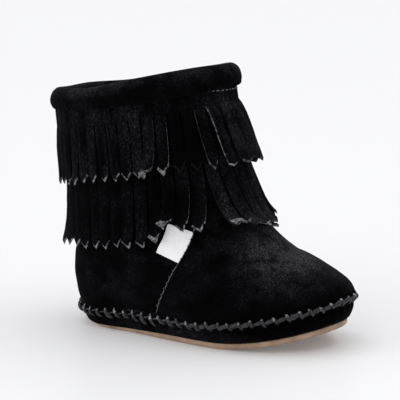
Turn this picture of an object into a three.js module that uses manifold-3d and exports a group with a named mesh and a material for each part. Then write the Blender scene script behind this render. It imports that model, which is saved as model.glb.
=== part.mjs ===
// Small child's moccasin boot for the right foot: a suede upper with two tiers of cut fringe,
// a rolled collar, a turned-up suede bottom whipped to the upper, and a thin ribbed rubber sole.
// Millimetres. +X runs to the toe, +Y to the inner (big toe) side and +Z up.
import * as THREE from 'three';
import Module from 'manifold-3d';

const wasm = await Module();
wasm.setup();

// Driving dimensions
const footLength = 127.5; // along the whipped seam, heel to toe
const ballWidth = 61; // across the whipped seam at the ball of the foot
const backHeight = 98; // shaft's top edge above the ground, over the heel
const frontHeight = 113.5; // the same over the instep
const toeSpring = 9.5; // lift of the sole under the toe
const heelSpring = 2.6; // lift of the sole under the back of the heel
const seamHeight = 10; // whipped seam above the underside of the sole
const seamDrop = 4.2; // how much lower the seam runs round the back of the heel
const seamDropEnd = 0.4 * footLength; // where it is level with the rest again
const seamRise = 1.6; // how much higher above the sole it runs round the toes
const seamRiseStart = 0.5 * footLength;
const seamRiseEnd = 0.8 * footLength;
const upperWall = 1.8; // suede and lining together
const fit = 0.3; // clearance between pieces that touch

const soleThickness = 3;
const soleInset = 2.4; // sole's edge inside the whipped seam
const soleRound = 1.2; // rounding of the sole's lower edge
const soleTuck = 2.8; // how much further in it lies at the back of the heel
const soleTuckEnd = 0.2 * footLength;
const rimWidth = 4.4; // raised border of the sole
const channelWidth = 1.3; // groove for the stitches, inside the border
const fieldDepth = 1.2; // from the ribs' faces up to the plain field
const channelDepth = 1.7;
const channelSlope = 0.25; // how far its walls lean
const ribWidth = 3.9;
const ribPitch = 7.7;
const ribBow = 2.6; // how far a rib's middle lies ahead of its ends
const ribSlant = 4.4; // how far a rib's outer end lies ahead of its inner end
const ribMargin = 1.6; // from a rib's end to the channel
const ribRoot = 0.4; // how deep a rib is rooted in the field
const heelRibCount = 5;
const frontRibCount = 8;
const ribEnds = 0.125 * footLength; // from heel and toe to the middles of the end ribs

const bottomWall = 1.5; // turned-up suede bottom
const lipOut = 0.8; // whipped seam's ridge
const lipHeight = 1;
const trayRound = 1.9; // rounding where the bottom turns up
const insoleThickness = 2;

const vampLap = 0.9; // step where the vamp laps over the back quarter
const collarDepth = 7.8;
const collarRoll = 3.9; // how far the rolled collar stands out
const collarCrown = 2.6; // how far it rises over the shaft's top edge
const collarLining = 1.4; // turned-in leg of the collar
const fringeLeather = 1.3;
const upperStripCount = 40;
const lowerStripCount = 36;
const stripGap = 0.4; // slit between strips at the top
const stripTaper = 1; // how much wider the slit is at the ends
const stripPoint = 3.2; // pinked point at a strip's end
const stripStray = 0.4; // how far a strip's end strays sideways
const bandDepth = 5.2; // uncut top of each fringe
const upperFringeLength = 29.5;
const lowerFringeLength = 35;
const fringeOverlap = 7; // lower fringe's band hidden by the upper one

const labelWidth = 11;
const labelLength = 13.2;
const labelThickness = 0.6;
const labelRise = 25; // label's lower end above the whipped seam
const labelLift = 0.7; // how far its free edge stands off

// Facets
const ringCount = 48;
const quarterCount = 12; // columns from the heel to the side seam, on each side

// Sole and seam outline: half widths as shares of the rounded end-to-end ellipse, by share of
// the length, and the shift of the middle to the inner side as a share of half the ball width.
const outlineRows = [
  { along: 0.0, outer: 1.24, inner: 1.24, shift: 0.0 },
  { along: 0.12, outer: 1.09, inner: 1.08, shift: 0.0 },
  { along: 0.27, outer: 0.9, inner: 0.84, shift: 0.0 },
  { along: 0.42, outer: 0.9, inner: 0.77, shift: 0.0 },
  { along: 0.56, outer: 0.985, inner: 0.86, shift: 0.01 },
  { along: 0.7, outer: 1.08, inner: 1.04, shift: 0.03 },
  { along: 0.85, outer: 1.14, inner: 1.18, shift: 0.06 },
  { along: 1.0, outer: 1.16, inner: 1.22, shift: 0.09 },
];

// Upper, from the whipped seam to the shaft's top edge. back and front are shares of the foot
// length, half is a share of half the ball width, heelRise and toeRise are shares of the rise
// over the heel and the instep, spring is the share of the sole's lift that a level follows,
// oval blends the foot's outline into a plain oval, seam places the side seam along the level
// and lap is the share of the vamp's step.
const upperRows = [
  {
    level: 0, back: 0.004, front: 1, half: 1, heelRise: 0,
    toeRise: 0, spring: 1, oval: 0, seam: 0.405, lap: 1,
  },
  {
    level: 1, back: -0.008, front: 0.994, half: 1.03, heelRise: 0.04,
    toeRise: 0.041, spring: 0.92, oval: 0.03, seam: 0.43, lap: 1,
  },
  {
    level: 2, back: -0.013, front: 0.973, half: 1.035, heelRise: 0.083,
    toeRise: 0.09, spring: 0.8, oval: 0.1, seam: 0.462, lap: 1,
  },
  {
    level: 3, back: -0.015, front: 0.93, half: 1.015, heelRise: 0.137,
    toeRise: 0.152, spring: 0.6, oval: 0.25, seam: 0.513, lap: 1,
  },
  {
    level: 4, back: -0.015, front: 0.866, half: 0.985, heelRise: 0.197,
    toeRise: 0.213, spring: 0.4, oval: 0.45, seam: 0.578, lap: 1,
  },
  {
    level: 5, back: -0.014, front: 0.789, half: 0.95, heelRise: 0.257,
    toeRise: 0.265, spring: 0.2, oval: 0.65, seam: 0.655, lap: 1,
  },
  {
    level: 6, back: -0.014, front: 0.719, half: 0.925, heelRise: 0.328,
    toeRise: 0.325, spring: 0, oval: 0.85, seam: 0.74, lap: 1,
  },
  {
    level: 7, back: -0.017, front: 0.663, half: 0.92, heelRise: 0.422,
    toeRise: 0.41, spring: 0, oval: 1, seam: 0.81, lap: 0.7,
  },
  {
    level: 8, back: -0.027, front: 0.621, half: 0.93, heelRise: 0.54,
    toeRise: 0.535, spring: 0, oval: 1, seam: 0.84, lap: 0,
  },
  {
    level: 9, back: -0.042, front: 0.588, half: 0.95, heelRise: 0.68,
    toeRise: 0.68, spring: 0, oval: 1, seam: 0.85, lap: 0,
  },
  {
    level: 10, back: -0.06, front: 0.561, half: 0.975, heelRise: 0.832,
    toeRise: 0.835, spring: 0, oval: 1, seam: 0.85, lap: 0,
  },
  {
    level: 11, back: -0.076, front: 0.543, half: 1, heelRise: 1,
    toeRise: 1, spring: 0, oval: 1, seam: 0.85, lap: 0,
  },
];
const topLevel = upperRows.length - 1;

// How far a fringe stands off the shaft, by share of its length, in mm.
const standOffRows = [
  { down: 0.0, out: 0.3 },
  { down: 0.3, out: 0.8 },
  { down: 0.6, out: 2.0 },
  { down: 1.0, out: 3.4 },
];

// Each fringe's strips from the heel (turn 0) to the front (turn 1), in mm: how much longer they
// are cut, how far they puff out just below the band, and how far their ends are kicked out.
const upperFringeRows = [
  { turn: 0.0, longer: 0.0, puff: 0.2, kick: 0.2 },
  { turn: 0.5, longer: 0.3, puff: 0.1, kick: 0.1 },
  { turn: 0.8, longer: 2.0, puff: 1.0, kick: 0.4 },
  { turn: 1.0, longer: 2.4, puff: 2.8, kick: 0.4 },
];
const lowerFringeRows = [
  { turn: 0.0, longer: 0.0, puff: 0.2, kick: 1.0 },
  { turn: 0.4, longer: -0.6, puff: 0.1, kick: 0.1 },
  { turn: 0.55, longer: -2.6, puff: 0.1, kick: 0.1 },
  { turn: 0.8, longer: 0.8, puff: 0.4, kick: 0.8 },
  { turn: 1.0, longer: 4.0, puff: 0.4, kick: 1.2 },
];
const puffShare = 0.14; // share of a strip's free length over which it puffs out

// Smooth curve through one column of a table.
function read(rows, key, column, at) {
  const last = rows.length - 1;
  const t = Math.min(Math.max(at, rows[0][key]), rows[last][key]);
  let i = 0;
  while (i < last - 1 && t > rows[i + 1][key]) i += 1;
  const slope = (k) => {
    const before = rows[Math.max(k - 1, 0)];
    const after = rows[Math.min(k + 1, last)];
    return (after[column] - before[column]) / (after[key] - before[key]);
  };
  const span = rows[i + 1][key] - rows[i][key];
  const u = (t - rows[i][key]) / span;
  const ease = u * u * (3 - 2 * u);
  return (
    rows[i][column] * (1 - ease) +
    rows[i + 1][column] * ease +
    span * u * (1 - u) * ((1 - u) * slope(i) - u * slope(i + 1))
  );
}

const mix = (a, b, t) => a + (b - a) * t;

// Lift of the sole over the ground at x: flat from the heel to the ball, curved up at both ends.
const flatBack = 0.16 * footLength;
const flatFront = 0.6 * footLength;
function lift(x) {
  const ahead = Math.max(0, x - flatFront) / (footLength - flatFront);
  const behind = Math.max(0, flatBack - x) / flatBack;
  return toeSpring * ahead * ahead + heelSpring * behind * behind;
}

// How much higher than the sole's lift the whipped seam and the toe of the upper rise.
function toeRise(x) {
  const share = (x - seamRiseStart) / (seamRiseEnd - seamRiseStart);
  return seamRise * THREE.MathUtils.smoothstep(share, 0, 1);
}

// A point of the foot's outline. The angle runs from the back of the heel over the outer side.
function outlineBase(angle) {
  const along = (1 - Math.cos(angle)) / 2;
  const side = Math.sin(angle);
  const shape = read(outlineRows, 'along', side > 0 ? 'outer' : 'inner', along);
  const shift = read(outlineRows, 'along', 'shift', along);
  return new THREE.Vector2(along * footLength, (ballWidth / 2) * (shift - side * shape));
}

const tinyTurn = 0.01;
function outlinePoint(angle, grow) {
  const point = outlineBase(angle);
  const tangent = outlineBase(angle + tinyTurn).sub(outlineBase(angle - tinyTurn)).normalize();
  return new THREE.Vector2(point.x + tangent.y * grow, point.y - tangent.x * grow);
}

// Columns round the foot: from the heel to the side seam, a narrow step, and on to the front.
const stepTurn = 0.012;
function footColumns() {
  const frontCount = ringCount / 2 - quarterCount;
  const outer = [];
  for (let i = 0; i <= quarterCount; i += 1) outer.push({ vamp: false, share: i / quarterCount });
  outer.push({ vamp: true, share: 0 });
  for (let i = 1; i < frontCount; i += 1) outer.push({ vamp: true, share: i / frontCount });
  const inner = outer.slice(1).reverse();
  return [
    ...outer.map((column) => ({ ...column, side: 1 })),
    { vamp: true, share: 1, side: 1 },
    ...inner.map((column) => ({ ...column, side: -1 })),
  ];
}

const columns = footColumns();
const plainColumns = columns.filter((column) => !(column.vamp && column.share === 0));

function columnAngle(column, level) {
  const seam = Math.acos(1 - 2 * read(upperRows, 'level', 'seam', level));
  const angle = column.vamp ? mix(seam + stepTurn, Math.PI, column.share) : column.share * seam;
  return column.side * angle;
}

// A point over the outline, grown sideways and standing at a height above the curved sole. It
// follows the whipped seam's own drop and rise by a share, from 0 at the sole to 1 at the seam.
function solePoint(angle, grow, height, seamShare) {
  const p = outlinePoint(angle, grow);
  const drop = seamDrop * Math.max(0, 1 - p.x / seamDropEnd) ** 2;
  return new THREE.Vector3(p.x, p.y, height + lift(p.x) + seamShare * (toeRise(p.x) - drop));
}

function outlineRing(grow, height, seamShare) {
  return plainColumns.map((column) => solePoint(columnAngle(column, 0), grow, height, seamShare));
}

// The same for the sole and what lies on it, which are tucked in round the back of the heel.
function soleRing(grow, height) {
  return plainColumns.map((column) => {
    const angle = columnAngle(column, 0);
    const tuck = soleTuck * Math.max(0, 1 - outlineBase(angle).x / soleTuckEnd) ** 2;
    return solePoint(angle, grow - tuck, height, 0);
  });
}

// A point on the upper's outer face.
function upperBase(level, angle) {
  const row = (column) => read(upperRows, 'level', column, level);
  const along = (1 - Math.cos(angle)) / 2;
  const side = Math.sin(angle);
  const shape = read(outlineRows, 'along', side > 0 ? 'outer' : 'inner', along);
  const shift = read(outlineRows, 'along', 'shift', along) * (1 - row('oval'));
  const x = mix(row('back'), row('front'), along) * footLength;
  const half = (ballWidth / 2) * row('half') * mix(shape, 1, row('oval'));
  const heelZ = seamHeight + row('heelRise') * (backHeight - seamHeight);
  const toeZ = seamHeight + row('toeRise') * (frontHeight - seamHeight);
  const z = mix(heelZ, toeZ, along) + row('spring') * (lift(x) + toeRise(x));
  return new THREE.Vector3(x, (ballWidth / 2) * shift - side * half, z);
}

function upperNormal(level, angle) {
  const up = Math.min(level + 0.1, topLevel);
  const rise = upperBase(up, angle).sub(upperBase(up - 0.2, angle));
  const round = upperBase(level, angle + tinyTurn).sub(upperBase(level, angle - tinyTurn));
  return round.cross(rise).normalize();
}

function upperPoint(level, angle, out) {
  return upperBase(level, angle).addScaledVector(upperNormal(level, angle), out);
}

// The level that lies a given depth below the shaft's top edge, measured upright.
function levelAtDepth(angle, depth) {
  const top = upperBase(topLevel, angle).z;
  let low = 0;
  let high = topLevel;
  for (let i = 0; i < 24; i += 1) {
    const middle = (low + high) / 2;
    if (top - upperBase(middle, angle).z > depth) low = middle;
    else high = middle;
  }
  return (low + high) / 2;
}

// Angles that cut a level's ring into equal lengths.
function evenAngles(level, count) {
  const steps = 360;
  const lengths = [0];
  for (let i = 1; i <= steps; i += 1) {
    const before = upperBase(level, (2 * Math.PI * (i - 1)) / steps);
    lengths.push(lengths[i - 1] + upperBase(level, (2 * Math.PI * i) / steps).distanceTo(before));
  }
  let i = 1;
  return Array.from({ length: count }, (_, k) => {
    const wanted = (lengths[steps] * k) / count;
    while (lengths[i] < wanted) i += 1;
    const share = (wanted - lengths[i - 1]) / (lengths[i] - lengths[i - 1]);
    return (2 * Math.PI * (i - 1 + share)) / steps;
  });
}

// Triangles between rings of equal length. A closed skin joins the last ring to the first, and
// an open one gets flat ends, spanned from one side of the ring to the other.
function skin(rings, closed) {
  const n = rings[0].length;
  const points = rings.flat();
  const faces = [];
  const quad = (a, b, c, d) => faces.push([a, b, c], [a, c, d]);
  const bands = closed ? rings.length : rings.length - 1;
  for (let r = 0; r < bands; r += 1) {
    const next = ((r + 1) % rings.length) * n;
    for (let k = 0; k < n; k += 1) {
      const k1 = (k + 1) % n;
      quad(r * n + k, r * n + k1, next + k1, next + k);
    }
  }
  if (!closed) {
    const last = (rings.length - 1) * n;
    for (let k = 0; k < n / 2; k += 1) {
      const sides = [k, k + 1, (n - k - 1) % n, (n - k) % n];
      const [a, b, c, d] = sides;
      if (k === 0) {
        faces.push([a, c, b], [last + a, last + b, last + c]);
      } else if (k === n / 2 - 1) {
        faces.push([a, d, b], [last + a, last + b, last + d]);
      } else {
        quad(d, c, b, a);
        quad(last + a, last + b, last + c, last + d);
      }
    }
  }
  return { points, faces };
}

function solidFrom({ points, faces }) {
  const vertProperties = new Float32Array(points.flatMap((p) => [p.x, p.y, p.z]));
  let volume = 0;
  for (const [a, b, c] of faces) {
    volume += points[a].dot(new THREE.Vector3().crossVectors(points[b], points[c]));
  }
  const order = volume < 0 ? faces.map(([a, b, c]) => [a, c, b]) : faces;
  const triVerts = new Uint32Array(order.flat());
  return new wasm.Manifold(new wasm.Mesh({ numProp: 3, vertProperties, triVerts }));
}

function meshFrom(name, solid, material) {
  const { vertProperties, triVerts, numProp } = solid.getMesh();
  const count = vertProperties.length / numProp;
  const positions = new Float32Array(count * 3);
  for (let i = 0; i < count; i += 1) {
    positions.set(vertProperties.subarray(i * numProp, i * numProp + 3), i * 3);
  }
  const geometry = new THREE.BufferGeometry();
  geometry.setAttribute('position', new THREE.BufferAttribute(positions, 3));
  geometry.setIndex(new THREE.BufferAttribute(new Uint32Array(triVerts), 1));
  geometry.computeVertexNormals();
  const mesh = new THREE.Mesh(geometry, material);
  mesh.name = name;
  return mesh;
}

const union = (solids) => wasm.Manifold.union(solids);

// Rubber sole: a thin curved plate with a raised border, a stitch channel and ribs across.
function soleSolid() {
  const edge = -soleInset;
  const inner = edge - rimWidth;
  const groove = inner - channelWidth;
  const plate = solidFrom(
    skin(
      [
        soleRing(edge, soleThickness),
        soleRing(edge, soleRound),
        soleRing(edge - soleRound * 0.3, soleRound * 0.3),
        soleRing(edge - soleRound, 0),
        soleRing(inner, 0),
        soleRing(inner - channelSlope, channelDepth),
        soleRing(groove, channelDepth),
        soleRing(groove - channelSlope, fieldDepth),
      ],
      false,
    ),
  );
  return union([plate, ...ribPlaces().map(ribSolid)]);
}

// The ribs' middles along the foot: one run under the heel and one under the ball and toes.
function ribPlaces() {
  const run = (count, first, step) => Array.from({ length: count }, (_, k) => first + k * step);
  const back = run(heelRibCount, ribEnds, ribPitch);
  const front = run(frontRibCount, footLength - ribEnds, -ribPitch);
  return [...back, ...front];
}

// Half the width of the field at x, on the outer or inner side.
function fieldHalf(x, outer) {
  const inset = soleInset + rimWidth + channelWidth + ribMargin;
  let low = 0;
  let high = Math.PI;
  for (let i = 0; i < 24; i += 1) {
    const middle = (low + high) / 2;
    if (outlinePoint(outer ? middle : -middle, -inset).x < x) low = middle;
    else high = middle;
  }
  return Math.abs(outlinePoint(outer ? low : -low, -inset).y);
}

function ribSolid(middle) {
  const stations = 7;
  const half = ribWidth / 2;
  const point = half * 0.7;
  const outerEnd = -fieldHalf(middle + ribSlant / 2 - ribBow, true);
  const innerEnd = fieldHalf(middle - ribSlant / 2 - ribBow, false);
  const bottom = [];
  const top = [];
  const shape = [];
  const centre = (share) => {
    const across = 2 * share - 1;
    return middle - (ribSlant / 2) * across - ribBow * across * across;
  };
  for (let i = 0; i <= stations; i += 1) {
    shape.push([centre(i / stations) + half, mix(outerEnd, innerEnd, i / stations)]);
  }
  shape.push([centre(1), innerEnd + point]);
  for (let i = stations; i >= 0; i -= 1) {
    shape.push([centre(i / stations) - half, mix(outerEnd, innerEnd, i / stations)]);
  }
  shape.push([centre(0), outerEnd - point]);
  for (const [x, y] of shape) {
    bottom.push(new THREE.Vector3(x, y, lift(x)));
    top.push(new THREE.Vector3(x, y, fieldDepth + ribRoot + lift(x)));
  }
  const n = shape.length;
  const points = [...bottom, ...top];
  const faces = [];
  for (let k = 0; k < n; k += 1) {
    const k1 = (k + 1) % n;
    faces.push([k, k1, n + k1], [k, n + k1, n + k]);
  }
  // the flat faces, spanned from one long side of the rib to the other
  const across = (k) => 2 * stations + 2 - k;
  for (let k = 0; k < stations; k += 1) {
    const [a, b, c, d] = [k, k + 1, across(k + 1), across(k)];
    faces.push([a, c, b], [a, d, c], [n + a, n + b, n + c], [n + a, n + c, n + d]);
  }
  const ends = [
    [stations, stations + 1, stations + 2],
    [n - 2, n - 1, 0],
  ];
  for (const [a, b, c] of ends) faces.push([a, c, b], [n + a, n + b, n + c]);
  return solidFrom({ points, faces });
}

// Suede bottom: a shallow tray under the foot, whose wall turns up to the whipped seam.
function bottomSolid() {
  const floor = soleThickness + fit;
  const top = seamHeight - fit;
  const foot = -soleInset;
  return solidFrom(
    skin(
      [
        soleRing(foot - trayRound / 2, floor),
        soleRing(foot + trayRound * 0.4, floor + trayRound * 0.25),
        outlineRing(-fit, floor + trayRound, 0.35),
        outlineRing(0, top - lipHeight * 1.5, 1),
        outlineRing(lipOut, top - lipHeight, 1),
        outlineRing(lipOut, top, 1),
        outlineRing(-bottomWall, top, 1),
        outlineRing(-bottomWall - fit, floor + bottomWall + fit, 0),
        outlineRing(-bottomWall - trayRound, floor + bottomWall, 0),
      ],
      false,
    ),
  );
}

function insoleSolid() {
  const under = soleThickness + fit + bottomWall + fit;
  const edge = -bottomWall - 3 * fit;
  return solidFrom(
    skin(
      [
        outlineRing(edge - trayRound, under, 0),
        outlineRing(edge, under + insoleThickness / 2, 0),
        outlineRing(edge, under + insoleThickness, 0),
      ],
      false,
    ),
  );
}

// Upper: one hollow wall from the whipped seam to the shaft's top edge. The vamp laps over the
// quarter by a step, and the lower edge turns out into the whipped seam's ridge.
function upperSolid() {
  const ridge = [
    { grow: -upperWall, height: seamHeight },
    { grow: lipOut, height: seamHeight },
    { grow: lipOut, height: seamHeight + lipHeight * 0.8 },
    { grow: 0, height: seamHeight + lipHeight * 1.6 },
  ].map(({ grow, height }) =>
    columns.map((column) => {
      const step = column.vamp && grow === 0 ? vampLap : 0;
      return solePoint(columnAngle(column, 0), grow + step, height, 1);
    }),
  );
  const levels = upperRows.slice(1).map((row) => row.level);
  const face = levels.map((level) =>
    columns.map((column) => {
      const step = column.vamp ? vampLap * read(upperRows, 'level', 'lap', level) : 0;
      return upperPoint(level, columnAngle(column, level), step);
    }),
  );
  const inside = levels.reverse().map((level) =>
    columns.map((column) => upperPoint(level, columnAngle(column, level), -upperWall)),
  );
  return solidFrom(skin([...ridge, ...face, ...inside], true));
}

// Rolled collar: a fat roll outside, folded over the shaft's edge and turned in.
function collarSolid() {
  const inside = -upperWall - fit;
  const lining = inside - collarLining;
  const section = [
    [fit, -collarDepth + 2 * fit],
    [collarRoll * 0.55, -collarDepth],
    [collarRoll * 0.92, -collarDepth * 0.82],
    [collarRoll, -collarDepth * 0.45],
    [collarRoll * 0.86, -collarDepth * 0.08],
    [collarRoll * 0.42, collarCrown * 0.73],
    [-upperWall * 0.3, collarCrown],
    [-upperWall * 1.3, collarCrown * 0.8],
    [lining, fit],
    [lining, -collarDepth * 0.8],
    [inside, -collarDepth * 0.8],
    [inside, fit],
    [fit, fit],
  ];
  const rings = section.map(([out, up]) =>
    plainColumns.map((column) => collarPoint(columnAngle(column, topLevel), out, up)),
  );
  return solidFrom(skin(rings, true));
}

// A point beside the shaft's top edge, out from its face and up along it.
function collarPoint(angle, out, up) {
  const level = up < 0 ? levelAtDepth(angle, -up) : topLevel;
  const point = upperPoint(level, angle, out);
  if (up > 0) {
    const rise = upperBase(topLevel, angle).sub(upperBase(topLevel - 0.2, angle)).normalize();
    point.addScaledVector(rise, up);
  }
  return point;
}

// A point on a fringe: the angle, the depth below its top edge and the distance off its back.
function fringePoint(fringe, angle, depth, out) {
  const off = read(standOffRows, 'down', 'out', depth / fringe.length);
  return upperPoint(levelAtDepth(angle, fringe.top + depth), angle, off + out);
}

// A fringe: an uncut band round the shaft and, below it, strips with a pinked end each. The
// wall is one skin: every strip has two edges, with a slit between it and its neighbour.
function fringeSolid(fringe) {
  const angles = evenAngles(levelAtDepth(0, fringe.top + fringe.length / 2), fringe.count);
  const points = [];
  const faces = [];
  const quad = (a, b, c, d) => faces.push([a, b, c], [a, c, d]);
  const strips = angles.map((from, k) => stripRows(fringe, from, angles[k + 1] ?? 2 * Math.PI, k));
  // a row's corners are inner left, outer left, outer right, inner right; the tip has two
  const starts = strips.map((rows) => rows.map((row) => points.push(...row) - row.length));
  starts.forEach((rows, k) => {
    const next = starts[(k + 1) % fringe.count];
    const [top, low, end, tip] = [rows[0], rows[1], rows.at(-2), rows.at(-1)];
    for (let r = 0; r < rows.length - 2; r += 1) {
      const [a, b] = [rows[r], rows[r + 1]];
      quad(a + 1, b + 1, b + 2, a + 2);
      quad(a + 3, b + 3, b, a);
      if (r > 0) {
        quad(a, b, b + 1, a + 1);
        quad(a + 2, b + 2, b + 3, a + 3);
      }
    }
    faces.push([end + 1, tip + 1, end + 2], [end + 3, tip, end]);
    quad(end, tip, tip + 1, end + 1);
    quad(end + 2, tip + 1, tip, end + 3);
    quad(top, top + 1, top + 2, top + 3);
    quad(top + 3, top + 2, next[0] + 1, next[0]);
    quad(top + 2, low + 2, next[1] + 1, next[0] + 1);
    quad(next[0], next[1], low + 3, top + 3);
    quad(low + 2, low + 3, next[1], next[1] + 1);
  });
  return solidFrom({ points, faces });
}

// One strip's rows of corners, from the band's top edge to the pinked tip.
function stripRows(fringe, from, to, k) {
  const angle = (from + to) / 2;
  const turn = 1 - Math.abs(angle / Math.PI - 1);
  const length = fringe.length + read(fringe.rows, 'turn', 'longer', turn);
  const uneven = Math.sin(fringe.phase + 3.7 * k);
  const kick = read(fringe.rows, 'turn', 'kick', turn) * (1 + 0.5 * uneven);
  const puff = read(fringe.rows, 'turn', 'puff', turn);
  const width = upperBase(topLevel, to).distanceTo(upperBase(topLevel, from));
  const stray = stripStray * Math.sin(fringe.phase + 2.4 * k);
  const row = (share, sides) => {
    const depth = mix(bandDepth, length, share);
    const loose = Math.max(0, share) ** 2;
    const narrow = (stripGap + stripTaper * loose) / width;
    const centre = angle + (stray * loose * (to - from)) / width;
    const hang = kick * loose + puff * (1 - Math.exp(-Math.max(0, share) / puffShare));
    return sides.map(([side, out]) =>
      fringePoint(fringe, centre + (side * (to - from) * (1 - narrow)) / 2, depth, out + hang),
    );
  };
  const corners = [[-1, 0], [-1, fringeLeather], [1, fringeLeather], [1, 0]];
  const shares = [-bandDepth / (length - bandDepth), 0, 0.25, 0.6, 1];
  return [
    ...shares.map((share) => row(share, corners)),
    row(1 + stripPoint / (length - bandDepth), [[0, 0], [0, fringeLeather]]),
  ];
}

// A point over the upper's outer side, seen from the side at x and z.
function sidePoint(x, z, out) {
  const angleAt = (level) => {
    const row = (column) => read(upperRows, 'level', column, level);
    const along = (x / footLength - row('back')) / (row('front') - row('back'));
    return Math.acos(1 - 2 * along);
  };
  let low = 0;
  let high = topLevel;
  for (let i = 0; i < 24; i += 1) {
    const level = (low + high) / 2;
    if (upperBase(level, angleAt(level)).z < z) low = level;
    else high = level;
  }
  return upperPoint(low, angleAt(low), out);
}

// The outer side seam at a height.
function seamAtHeight(z) {
  const seamAt = (level) => upperBase(level, Math.acos(1 - 2 * read(upperRows, 'level', 'seam', level)));
  let low = 0;
  let high = topLevel;
  for (let i = 0; i < 24; i += 1) {
    const level = (low + high) / 2;
    if (seamAt(level).z < z) low = level;
    else high = level;
  }
  return seamAt(low);
}

// Blank ribbon label, caught in the outer side seam and lying back over the quarter.
function labelSolid() {
  const foot = seamAtHeight(seamHeight + labelRise);
  const up = seamAtHeight(foot.z + labelLength).sub(foot).setY(0).normalize();
  const steps = 4;
  const face = (out) =>
    Array.from({ length: (steps + 1) ** 2 }, (_, k) => {
      const along = ((k % (steps + 1)) / steps) * labelLength;
      const share = Math.floor(k / (steps + 1)) / steps;
      const behind = fit + share * labelWidth;
      const seam = seamAtHeight(foot.z + up.z * along);
      const lifted = out + labelLift * share * share;
      return sidePoint(seam.x - up.z * behind, seam.z + up.x * behind, lifted);
    });
  const points = [...face(2 * fit), ...face(2 * fit + labelThickness)];
  const row = steps + 1;
  const layer = row * row;
  const faces = [];
  for (let i = 0; i < steps; i += 1) {
    for (let j = 0; j < steps; j += 1) {
      const a = i * row + j;
      const [b, c, d] = [a + 1, a + row + 1, a + row];
      faces.push([a, b, c], [a, c, d]);
      faces.push([layer + a, layer + c, layer + b], [layer + a, layer + d, layer + c]);
    }
  }
  const rim = [];
  for (let i = 0; i < steps; i += 1) rim.push(i);
  for (let i = 0; i < steps; i += 1) rim.push(i * row + steps);
  for (let i = steps; i > 0; i -= 1) rim.push(steps * row + i);
  for (let i = steps; i > 0; i -= 1) rim.push(i * row);
  rim.forEach((a, k) => {
    const b = rim[(k + 1) % rim.length];
    faces.push([b, a, layer + a], [b, layer + a, layer + b]);
  });
  return solidFrom({ points, faces });
}

const upperFringe = {
  count: upperStripCount,
  top: collarDepth + fit,
  length: upperFringeLength - stripPoint,
  rows: upperFringeRows,
  phase: 0.4,
};
const lowerFringe = {
  count: lowerStripCount,
  top: collarDepth + upperFringeLength - fringeOverlap,
  length: lowerFringeLength - stripPoint,
  rows: lowerFringeRows,
  phase: 1.9,
};

const suede = new THREE.MeshStandardMaterial({ color: 0x0c0c0e, roughness: 0.95, metalness: 0 });
const rubber = new THREE.MeshStandardMaterial({ color: 0x9a6a4b, roughness: 0.6, metalness: 0 });
const lining = new THREE.MeshStandardMaterial({ color: 0x1a1a1c, roughness: 0.9, metalness: 0 });
const ribbon = new THREE.MeshStandardMaterial({ color: 0xe9e9ea, roughness: 0.45, metalness: 0 });

const boot = new THREE.Group();
boot.add(
  meshFrom('outsole', soleSolid(), rubber),
  meshFrom('suede_bottom', bottomSolid(), suede),
  meshFrom('insole', insoleSolid(), lining),
  meshFrom('upper', upperSolid(), suede),
  meshFrom('rolled_collar', collarSolid(), suede),
  meshFrom('upper_fringe', fringeSolid(upperFringe), suede),
  meshFrom('lower_fringe', fringeSolid(lowerFringe), suede),
  meshFrom('side_label', labelSolid(), ribbon),
);

// The origin stands on the ground under the middle of the whole boot.
const extent = new THREE.Box3().setFromObject(boot);
const middle = extent.getCenter(new THREE.Vector3());
boot.children.forEach((piece) => {
  piece.position.x -= middle.x;
  piece.position.y -= middle.y;
});

export default boot;
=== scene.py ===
# Small black suede moccasin boot for the right foot: finish and fine shapes round its solids.
import math

import bmesh
import bpy
import numpy as np
from mathutils import Matrix, Vector


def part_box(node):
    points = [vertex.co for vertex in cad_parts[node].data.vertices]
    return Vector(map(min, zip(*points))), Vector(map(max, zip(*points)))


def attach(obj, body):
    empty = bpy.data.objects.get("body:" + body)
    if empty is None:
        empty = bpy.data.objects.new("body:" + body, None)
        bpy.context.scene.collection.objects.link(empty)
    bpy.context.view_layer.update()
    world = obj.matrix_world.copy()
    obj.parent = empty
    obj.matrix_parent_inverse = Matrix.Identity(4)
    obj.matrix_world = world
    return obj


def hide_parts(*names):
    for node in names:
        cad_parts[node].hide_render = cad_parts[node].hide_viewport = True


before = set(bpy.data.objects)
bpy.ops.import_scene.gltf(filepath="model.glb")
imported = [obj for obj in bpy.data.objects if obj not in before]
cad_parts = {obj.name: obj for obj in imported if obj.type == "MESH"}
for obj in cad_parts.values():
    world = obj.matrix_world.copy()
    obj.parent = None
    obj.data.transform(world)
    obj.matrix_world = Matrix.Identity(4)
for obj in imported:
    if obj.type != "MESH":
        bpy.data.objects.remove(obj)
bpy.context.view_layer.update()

rng = np.random.default_rng(7)
mm = 0.001

# the last's sizes in mm, the same as the solids have
foot = {
    "length": 127.5,
    "ballWidth": 61,
    "backHeight": 98,
    "frontHeight": 113.5,
    "toeSpring": 9.5,
    "heelSpring": 2.6,
    "seamHeight": 10,
    "seamDrop": 4.2,  # lower round the back of the heel
    "seamRise": 1.6,  # and higher round the toes
    "wall": 1.8,
    "lap": 0.9,  # step of the vamp over the quarter
    "soleThickness": 3,
    "soleInset": 2.4,
    "soleTuck": 2.8,  # further in at the back of the heel
    "lipOut": 0.8,
    "clear": 0.3,  # between two pieces that meet
}

# half widths of the sole by share of its length, and its bend to the inner side
outlineRows = {
    "along": [0.0, 0.12, 0.27, 0.42, 0.56, 0.7, 0.85, 1.0],
    "outer": [1.24, 1.09, 0.9, 0.9, 0.985, 1.08, 1.14, 1.16],
    "inner": [1.24, 1.08, 0.84, 0.77, 0.86, 1.04, 1.18, 1.22],
    "shift": [0.0, 0.0, 0.0, 0.0, 0.01, 0.03, 0.06, 0.09],
}

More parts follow.
